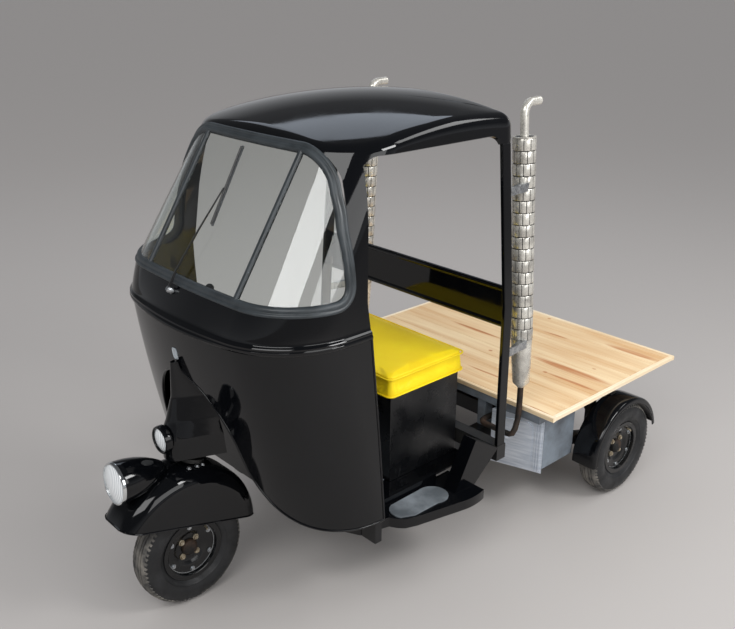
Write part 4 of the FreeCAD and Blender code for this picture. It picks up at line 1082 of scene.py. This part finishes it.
HALF_TRACK, WHEELBASE, TYRE_R, BLOCKS = 615.0, 1759.0, 205.0, 68
for label, body, x, y, side in (
        ("front", "front_wheel", 0.0, 0.0, 1.0), ("rear_left", "rear_wheel_left", HALF_TRACK, WHEELBASE, 1.0),
        ("rear_right", "rear_wheel_right", -HALF_TRACK, WHEELBASE, -1.0)):
    centre, axis = spot(x, y, TYRE_R), Vector((side, 0.0, 0.0))
    wall_line = curve_through((31.0, 118.0), ((49.0, 158.0), (38.0, 196.0)), count=16)
    half_line = [(31.0, 104.0)] + [tuple(p) for p in wall_line[:-1]] + [(38.0, 196.0)]
    half_line[6:6] = [(half_line[5][0] + 1.6, half_line[5][1] + 1.0)]
    crown_line = [(34.0, 198.6), (30.0, 200.9), (24.5, 202.4), (24.0, 198.6), (20.0, 199.4), (19.5, 203.3),
                  (12.0, 204.3), (11.5, 200.2), (8.0, 200.4), (7.5, 204.7), (0.0, TYRE_R)]
    left_half = half_line + crown_line
    outline = left_half + [(-a, r) for a, r in reversed(left_half[:-1])]
    tyre = lathe(f"{label}_tyre_casing", outline, centre, axis, sidewall, 128, angle=36.0)
    tyre.data.materials.append(tread)
    for face in tyre.data.polygons:
        c = face.center - centre
        if math.hypot(c.y, c.z) > 0.1965 and face.area > 0.0:
            face.material_index = 1
    fix(tyre, body, "tyre_rubber", f"{label}_tyre")
    places, facings = [], []
    for i in range(BLOCKS):
        for a, shift in ((38.6, 0.0), (-38.6, 0.5)):
            t = 2.0 * math.pi * (i + shift) / BLOCKS
            out = round_wheel(t)
            places.append(centre + (axis * a + out * 191.6) / 1000.0)
            facings.append(out + axis * math.copysign(0.85, a))
    lugs = grown(f"{label}_tyre_shoulder_blocks", lug_tree, places, facings, {
        lug_sockets["Size"]: (0.013, 0.0085, 0.007), lug_sockets["Rubber"]: tread})
    fix(lugs, body, "tyre_rubber")
    rim = [(-35.0, 98.6), (-35.0, 117.0), (-33.5, 118.0), (-32.0, 117.0), (-31.5, 104.0), (-29.0, 101.6),
           (29.0, 101.6), (31.5, 104.0), (32.0, 117.0), (33.5, 118.0), (35.0, 117.0), (35.0, 101.0),
           (33.5, 98.6), (24.0, 97.9), (20.6, 97.0), (18.8, 92.0), (17.4, 82.0), (16.2, 71.0), (14.0, 65.0),
           (8.6, 57.0), (6.6, 53.0), (6.0, 46.0), (6.0, 32.0), (2.0, 32.0), (2.0, 56.0), (12.0, 72.0),
           (16.0, 97.0)]
    fix(lathe(f"{label}_rim_pressing", rim, centre, axis, rim_enamel, 128, angle=30.0), body, "rim_black",
        f"{label}_rim")
    # Painted highlight: a thin bright zinc ring on the rim's bend stands in for the glint of light there
    highlight_ring_line = [(19.6, 94.0), (20.8, 93.6), (21.2, 95.0), (20.6, 96.2)]
    fix(lathe(f"{label}_rim_painted_highlight_ring", highlight_ring_line, centre, axis, zinc, 96), body, "rim_black")
    drum = [(-60.0, 13.0), (-60.0, 80.0), (-58.0, 82.0), (-50.0, 82.0), (-48.0, 80.0), (-42.0, 80.0),
            (-40.0, 82.0), (-10.0, 82.0), (-8.0, 80.0), (-8.0, 60.0), (1.7, 60.0), (1.7, 30.0), (13.0, 30.0),
            (17.0, 28.0), (20.0, 23.0), (21.0, 22.0), (22.0, 18.0), (22.0, 0.0), (8.0, 0.0), (8.0, 13.0)]
    fix(lathe(f"{label}_drum", drum, centre, axis, cast_iron, 96), body, "drum_iron", f"{label}_hub")
    for kind, count, first, out_mm, from_axle, radius, height, metal, slot in (
            ("rim_nuts", 6, 30.0, 19.0, 86.0, 6.5, 6.0, zinc, "rim_black"),
            ("hub_nuts", 4, 45.0, 7.5, 41.0, 8.0, 8.0, rusty, "drum_iron")):
        turns = [math.radians(first + 360.0 / count * i) for i in range(count)]
        nuts = [centre + (axis * out_mm + round_wheel(t) * from_axle) / 1000.0 for t in turns]
        bolts(f"{label}_{kind}", nuts, [tuple(axis)] * count, radius, height, metal, body, slot)
    out = round_wheel(math.radians(45.0))
    valve = [centre + (axis * a + out * r) / 1000.0 for a, r in ((14.0, 92.0), (26.0, 90.0), (38.0, 86.0))]
    fix(tube(f"{label}_valve", valve, (5.0, 4.0, 3.2), rusty, 10), body, "tyre_rubber")

# Rear guards.
# A steel strip bent round the front and top of each rear wheel, its edges turned down, and
# hung by a tab from the deck frame. Black enamel.
guard = [(-58.0, 213.0), (-58.0, 223.0), (-57.0, 227.0), (-54.0, 231.0), (-50.0, 233.2), (-44.0, 234.0),
         (-22.0, 234.8), (0.0, 235.0)]
guard += [(-a, r) for a, r in reversed(guard[:-1])]
guard += [(54.0, 213.0), (54.0, 223.0), (44.0, 230.0), (0.0, 231.0), (-44.0, 230.0), (-54.0, 223.0),
          (-54.0, 213.0)]
GUARD_START, GUARD_SWEEP = 13.1, 168.8
for side, label in SIDES:
    centre = spot(side * HALF_TRACK, WHEELBASE, TYRE_R)
    made = lathe(f"rear_guard_{label}", guard, centre, (1.0, 0.0, 0.0), cab_enamel, 72, GUARD_START,
                 GUARD_SWEEP)
    fix(made, "body", "black_paint", *(("rear_guards",) if side > 0.0 else ()))
    for sign in (-1.0, 1.0):
        points = []
        for i in range(61):
            t = math.radians(GUARD_START + GUARD_SWEEP * i / 60.0)
            points.append(spot(side * HALF_TRACK + sign * 56.0, WHEELBASE, TYRE_R) + round_wheel(t) * 0.213)
        name = f"rear_guard_bead_{label}_{'outer' if sign == side else 'inner'}"
        fix(tube(name, points, 3.0, cab_enamel, 8), "body", "black_paint")
    corners = [(x, y) for y in (WHEELBASE - 20.0, WHEELBASE + 20.0) for x in (526.0, 587.0)]
    corners[2:] = reversed(corners[2:])
    ends = [[spot(side * x, y, z) for x, y in corners] for z in (437.6, 445.6)]
    fix(bar(f"rear_guard_tab_{label}", ends, chassis_paint), "body", "black_paint")

# Deck frame.
# Welded steel channel under the boards, carried on short posts on the rails. Grey-blue primer that
# dirt has dulled.
deck_primer = surface(
    "grey_blue_primer", "#737B84", 0.5,
    tint=((70.0, 6.0), 0.4, 0.72, "#757E87", "#4E5155"),
    sheen=((40.0, 4.0), 0.4, 0.7, 0.4, 0.65),
    relief=((5.0,), 0.1, 0.5),
)
finished("deck_frame", deck_primer, 2.0)

# Deck.
# Sawn pine boards 92 mm wide lie side by side across the frame and are nailed down, with a light
# trim strip round them. Clear varnish over all.
DECK_Z0, DECK_Z1, PLANK_W = 482.0, 502.0, 92.2
# Rows: x from, x to, y, half width. Reddish streaks in the boards, except the row at y 1298 along the front
# edge, which is a painted shadow line
STREAKS_AND_SHADOW_LINE = ((34.0, 183.0, 1985.0, 5.0), (332.0, 604.0, 2075.0, 14.0), (180.0, 613.0, 1709.0, 16.0),
           (336.0, 612.0, 1613.0, 7.0), (462.0, 610.0, 1298.0, 7.0), (-348.0, -43.0, 1756.0, 8.0),
           (-560.0, -420.0, 1880.0, 7.0), (60.0, 300.0, 1420.0, 5.0))
KNOTS = ((336.0, 1612.0), (454.0, 1793.0), (24.0, 1617.0), (-44.0, 2140.0), (-380.0, 1500.0))


def pine_board(name, light, dark, along_x):
    """Varnished pine: fine grain lines about 3 mm apart along the board, and broad soft bands."""
    made, tree, shader, place = start_material(name, light, 0.36)
    stretch = (40.0, 1.0, 1.0) if along_x else (1.0, 40.0, 1.0)
    fine = grain(tree, place, 5.0, 4.0, stretch)
    broad = grain(tree, place, 38.0, 3.0, tuple(s * 0.35 if s > 1.0 else s for s in stretch), seed=2.0)
    colour = blend(tree, calc(tree, "ADD", calc(tree, "MULTIPLY", fine, 0.35), broad), 0.5, 0.88, light, dark)
    return made, tree, shader, place, colour, fine


def near(tree, place, x, y, half_x, half_y):
    """1 in the middle of a patch, falling to 0 at its edge."""
    moved = add(tree, "ShaderNodeVectorMath", {0: place, 1: tuple(spot(x, y, DECK_Z1))}, operation="SUBTRACT")
    scaled = add(tree, "ShaderNodeVectorMath",
                 {0: moved.outputs[0], 1: (1000.0 / half_x, 1000.0 / half_y, 0.0)}, operation="MULTIPLY")
    far = add(tree, "ShaderNodeVectorMath", {0: scaled.outputs[0]}, operation="LENGTH")
    return span(tree, far.outputs["Value"], 0.55, 1.0, 1.0, 0.0)


pine, tree, shader, place, colour, fine = pine_board("varnished_pine_boards", "#EAD1A8", "#D3A978", True)
wobble = add(tree, "ShaderNodeVectorMath", {0: place, 1: grain(tree, place, 90.0, 2.0, (3.0, 1.0, 1.0))},
             operation="ADD")
centred = add(tree, "ShaderNodeVectorMath", {0: wobble.outputs[0], 1: (0.5, 0.5, 0.5)}, operation="SUBTRACT")
bent = add(tree, "ShaderNodeMix", {"Factor": 0.03, 4: place, 5: centred.outputs[0]}, data_type="VECTOR")
patches = [(0.5 * (x0 + x1), y, 0.55 * (x1 - x0), half_w * 1.6) for x0, x1, y, half_w in STREAKS_AND_SHADOW_LINE]
patches += [(x, y, 13.0, 9.0) for x, y in KNOTS]
marks = near(tree, bent.outputs[1], *patches[0])
for patch in patches[1:]:
    marks = calc(tree, "MAXIMUM", marks, near(tree, bent.outputs[1], *patch))
broken = calc(tree, "MULTIPLY", marks, span(tree, fine, 0.3, 0.6, 0.4, 1.0))
# Streaks, knots and the painted shadow line at the front edge turn the boards reddish brown
tree.links.new(blend(tree, broken, 0.0, 1.0, colour, "#B9794A"), shader.inputs["Base Color"])
tree.links.new(span(tree, grain(tree, place, 60.0, 4.0), 0.35, 0.7, 0.28, 0.46), shader.inputs["Roughness"])
emboss(tree, shader, fine, 0.15, 0.4)


def plank(ends, sides, edge=1.2, along_x=True):
    """The two end rings of a board with its long edges eased."""
    (a, b), z0, z1 = sides, DECK_Z0, DECK_Z1
    ring = [(a + edge, z0), (b - edge, z0), (b, z0 + edge), (b, z1 - edge),
            (b - edge, z1), (a + edge, z1), (a, z1 - edge), (a, z0 + edge)]
    return [[spot(*((end, side) if along_x else (side, end)), z) for side, z in ring] for end in ends]


y, last_y, number = 1300.0, 2167.0, 0
while y < last_y - 20.0:
    wide = min(PLANK_W, last_y - y)
    board = bar(f"deck_plank_{number:02d}", plank((-601.0, 601.0), (y + 0.5, y + wide - 0.5)), pine)
    fix(board, "body", "pine", *(("deck_board",) if number == 0 else ()))
    y, number = y + wide, number + 1

for label, way, along_x in (("cross", "across", True), ("side", "along", False)):
    trim, tree, shader, place, colour, fine = pine_board(f"pine_trim_{way}", "#F4E6CC", "#E3C79C", along_x)
    tree.links.new(colour, shader.inputs["Base Color"])
    emboss(tree, shader, fine, 0.15, 0.4)
    for sign, name in ((-1.0, "first"), (1.0, "second")):
        if along_x:
            y0 = 1282.0 if sign < 0.0 else 2167.3
            rings = plank((-619.0, 619.0), (y0, y0 + 17.7), 2.0)
        else:
            x0 = sign * 610.0 - 8.7
            rings = plank((1299.9, 2167.1), (x0, x0 + 17.4), 2.0, False)
        nodes = ("deck_trim",) if along_x and sign < 0.0 else ()
        fix(bar(f"deck_trim_{label}_{name}", rings, trim), "body", "trim_wood", *nodes)

# Side boxes.
# A closed box of folded steel hangs under each side of the deck. On its slanted front is an embossed
# aluminium panel with a round boss.
finished("side_boxes", deck_primer, 4.0, 3)

# Mill-finish aluminium sheet: rolled grain across, dull blue-grey, bright on its folds
mill_sheet = surface(
    "embossed_aluminium_sheet", "#AEB8C8", 0.36, metallic=0.5,
    tint=((6.0, 3.0, (12.0, 12.0, 1.0)), 0.35, 0.7, "#B7C0CC", "#DCE1E8"),
    sheen=((6.0, 3.0, (12.0, 12.0, 1.0)), 0.35, 0.7, 0.28, 0.46),
    relief=((9.0, 2.0), 0.25, 0.5),
)
finished("front_panels", mill_sheet, 3.0, 3)

# Engine.
# One plain block stands for the engine, gearbox and differential between the rails. Cast
# aluminium and iron under oil and dust.
finished("engine_block", cast_iron, 12.0, 3)

# Exhaust stacks.
# Behind each rear post stands a pipe with a bent tip. Round it is a heat shield of bright steel
# strips that are folded, staggered like bricks, and riveted over an inner tube.
strip_steel = surface(
    "bright_steel_strip", "#D4D1CA", 0.34, metallic=0.55,
    tint=((45.0, 5.0), 0.35, 0.7, "#E0DDD4", "#A9A59E"),
    sheen=((10.0, 5.0), 0.35, 0.7, 0.2, 0.42),
    relief=((5.0, 2.0), 0.2, 0.5),
)
# Black paint under soot, on the inner tube and on the disc at the tip's end; that disc is soot and painted
# shade of the open pipe
soot_paint = surface(
    "soot_black_paint", "#1C1B1E", 0.4,
    tint=((60.0, 6.0), 0.4, 0.72, "#17171A", "#34322F"),
)
STACK_LEAN = math.radians(3.6)


def on_stack(side, x, y, z):
    """A place given upright at the stack's foot, moved to the left (1) or right (-1) stack."""
    lx = x * math.cos(STACK_LEAN) - z * math.sin(STACK_LEAN)
    lz = x * math.sin(STACK_LEAN) + z * math.cos(STACK_LEAN)
    return spot(side * (471.0 + lx), 1257.0 + y, 596.0 + lz)


plate_points, plate_faces = [], []
ROUND, ROWS, SHIELD_FOOT, SHIELD_HIGH = 10, 17, 206.0, 768.0
chance = np.random.default_rng(7)
for row in range(ROWS):
    z0 = SHIELD_FOOT + row * (SHIELD_HIGH / ROWS)
    z1 = z0 + SHIELD_HIGH / ROWS - 3.2
    for i in range(ROUND):
        middle_t = 2.0 * math.pi * (i + 0.5 * (row % 2)) / ROUND
        tilt, base = chance.uniform(-0.5, 0.7), len(plate_points)
        for layer in (0.0, -2.2):
            for j in range(5):
                t = middle_t + (j / 4.0 - 0.5) * (2.0 * math.pi / ROUND - 0.075)
                swell = 0.9 * math.cos(math.pi * (j / 4.0 - 0.5))
                for z, pull in ((z0, 1.0), (z0 + 2.5, 0.0), (z1 - 2.5, 0.0), (z1, 1.0)):
                    fold = pull * (1.4 if layer == 0.0 else 0.0)
                    r = 42.4 + layer + swell - fold + tilt * (z - 0.5 * (z0 + z1)) / 60.0
                    plate_points.append((r * math.cos(t), r * math.sin(t), z))
        for j in range(4):
            for k in range(3):
                a = base + j * 4 + k
                plate_faces += [(a, a + 4, a + 5, a + 1), (a + 21, a + 25, a + 24, a + 20)]
            a = base + j * 4
            plate_faces += [(a, a + 20, a + 24, a + 4), (a + 3, a + 7, a + 27, a + 23)]
        for k in range(3):
            a = base + k
            plate_faces += [(a, a + 1, a + 21, a + 20), (a + 16, a + 36, a + 37, a + 17)]
TURNED = (
    ("inner_tube", [(14.0, 0.0), (33.0, 22.0), (38.0, 110.0), (39.6, 200.0), (39.6, 976.0)],
     soot_paint, False),
    ("cone", [(14.6, 0.0), (33.6, 21.5), (38.6, 110.0), (41.0, 198.0), (42.8, 200.0), (42.8, 205.0),
              (40.0, 205.0), (36.0, 110.0), (30.0, 22.0), (14.0, 2.0)], strip_steel, True),
    ("collar", [(43.0, 972.0), (43.0, 977.0), (41.0, 978.0), (36.0, 977.0), (30.0, 975.0), (17.0, 975.0),
                (17.0, 970.0), (39.0, 970.0)], strip_steel, True),
)


def turn_rings(side, outline, count=48):
    """Rings round a stack's middle for each (radius, height)."""
    turns = [2.0 * math.pi * k / count for k in range(count)]
    return [[on_stack(side, r * math.cos(t), r * math.sin(t), z) for t in turns] for r, z in outline]


for side, label in SIDES:
    plates = from_faces(f"stack_plates_{label}", [on_stack(side, *p) for p in plate_points], plate_faces,
                        strip_steel)
    fix(settle(plates, 50.0), "body", "stack_chrome", *(("stacks",) if side > 0.0 else ()))
    for kind, outline, metal, closed in TURNED:
        fix(bar(f"stack_{kind}_{label}", turn_rings(side, outline), metal, closed), "body", "stack_chrome")
    tip = [on_stack(side, 0.0, 0.0, 970.0), on_stack(side, 0.0, 0.0, 1050.0)]
    for i in range(1, 13):
        t = math.radians(90.0 * i / 12.0)
        tip.append(on_stack(side, 0.0, 40.0 * (1.0 - math.cos(t)), 1056.0 + 40.0 * math.sin(t)))
    tip.append(on_stack(side, 0.0, 83.5, 1096.0))
    fix(tube(f"stack_tip_{label}", tip, 15.8, strip_steel, 28), "body", "stack_chrome")
    # Soot and painted shade: a thin black disc on the tip's closed end stands for the dark inside of the open
    # pipe
    mouth = [tip[-1] + Vector((0.0, 0.0002, 0.0)), tip[-1] + Vector((0.0, 0.0005, 0.0))]
    fix(tube(f"stack_mouth_soot_and_shade_{label}", mouth, 13.4, soot_paint, 28), "body", "stack_chrome")
    points = [(471.0, 1257.0, 604.0), (471.0, 1257.0, 500.0), (471.0, 1252.0, 452.0), (471.0, 1239.0, 414.0),
              (469.0, 1226.0, 397.0), (455.0, 1222.0, 391.0), (436.0, 1222.0, 390.0), (334.0, 1222.0, 390.0),
              (318.0, 1225.0, 390.0), (304.0, 1238.0, 390.0), (300.0, 1256.0, 390.0), (300.0, 1626.0, 390.0),
              (295.0, 1646.0, 390.0), (280.0, 1658.0, 390.0), (266.0, 1660.0, 390.0), (220.6, 1660.0, 390.0)]
    fix(tube(f"exhaust_pipe_{label}", [spot(side * x, y, z) for x, y, z in points], 12.0, cast_iron, 16),
        "body", "stack_chrome")

# Stack clamps.
# Short steel tabs from the rear posts to the shields, with a zinc-plated bolt through each.
finished("stack_clamps", zinc, 1.5)

# Studio: one pale floor that runs to the horizon, an even pale sky, and five softboxes
floor_paint, tree, shader, place = start_material("studio_floor", "#ADA9A6", 0.9)
shader.inputs["Specular IOR Level"].default_value = 0.2
floor = from_faces("studio_floor", [(-300, -300, 0), (300, -300, 0), (300, 300, 0), (-300, 300, 0)],
                   [(0, 1, 2, 3)], floor_paint)

world = bpy.data.worlds.new("studio")
bpy.context.scene.world = world
world.use_nodes = True
tree = world.node_tree
tree.nodes.clear()
rays = add(tree, "ShaderNodeLightPath")
seen = calc(tree, "MAXIMUM", rays.outputs["Is Camera Ray"], rays.outputs["Is Glossy Ray"])
seen = calc(tree, "MAXIMUM", seen, rays.outputs["Is Transmission Ray"])
way = add(tree, "ShaderNodeSeparateXYZ", {"Vector": add(tree, "ShaderNodeTexCoord").outputs["Generated"]})
level = span(tree, way.outputs["Z"], 0.03, 0.32, 0.6, 0.13)
back = add(tree, "ShaderNodeBackground", {"Color": linear("#E4E6EA"), "Strength": level})
fill = add(tree, "ShaderNodeBackground", {"Color": linear("#F6F7FA"), "Strength": 0.7})
both = add(tree, "ShaderNodeMixShader", {0: seen, 1: fill.outputs[0], 2: back.outputs[0]})
add(tree, "ShaderNodeOutputWorld", {0: both.outputs[0]})


def softbox(name, place, aim, size, power, colour="#FFFFFF"):
    """A lamp with a rectangular face, in metres and watts, turned towards a place."""
    lamp = bpy.data.lights.new(name, "AREA")
    lamp.shape, lamp.size, lamp.size_y, lamp.energy = "RECTANGLE", size[0], size[1], power
    lamp.color = linear(colour)[:3]
    made = put(name, lamp)
    made.location = place
    made.rotation_euler = (Vector(aim) - Vector(place)).to_track_quat("-Z", "Y").to_euler()


softbox("key_light", (2.0, -4.2, 4.7), (0.0, -0.3, 0.9), (4.0, 2.2), 135.0)
softbox("side_light", (2.3, 3.35, 5.0), (0.0, 0.4, 0.9), (2.5, 1.2), 45.0)
softbox("cab_light", (4.6, -0.6, 2.5), (0.0, 0.0, 0.8), (3.2, 2.0), 60.0)
softbox("seat_light", (3.4, 1.0, 3.5), (0.1, -0.05, 0.78), (1.5, 1.0), 80.0)
softbox("roof_light", (-3.8, 2.3, 5.05), (0.1, -0.5, 1.66), (4.5, 1.5), 30.0, "#DCE6F4")

# Camera: at the photograph's place, from the front left and above
CAMERA_X, CAMERA_Y, CAMERA_Z, LENS_MM, SENSOR_MM = 2.4163, -2.3102, 2.1331, 43.94, 36.0
YAW, PITCH, ROLL = math.radians(47.40), math.radians(21.11), math.radians(0.158)
ahead = Vector((-math.sin(YAW) * math.cos(PITCH), math.cos(YAW) * math.cos(PITCH), -math.sin(PITCH)))
right = ahead.cross(Vector((0, 0, 1))).normalized()
up = right.cross(ahead)
right, up = right * math.cos(ROLL) + up * math.sin(ROLL), up * math.cos(ROLL) - right * math.sin(ROLL)
view = bpy.data.cameras.new("camera")
view.lens, view.sensor_width = LENS_MM, SENSOR_MM
camera = put("camera", view)
camera.matrix_world = Matrix((
    (right.x, up.x, -ahead.x, CAMERA_X), (right.y, up.y, -ahead.y, CAMERA_Y),
    (right.z, up.z, -ahead.z, CAMERA_Z), (0, 0, 0, 1),
))
bpy.context.scene.camera = camera
bpy.context.scene.view_settings.view_transform = "Standard"
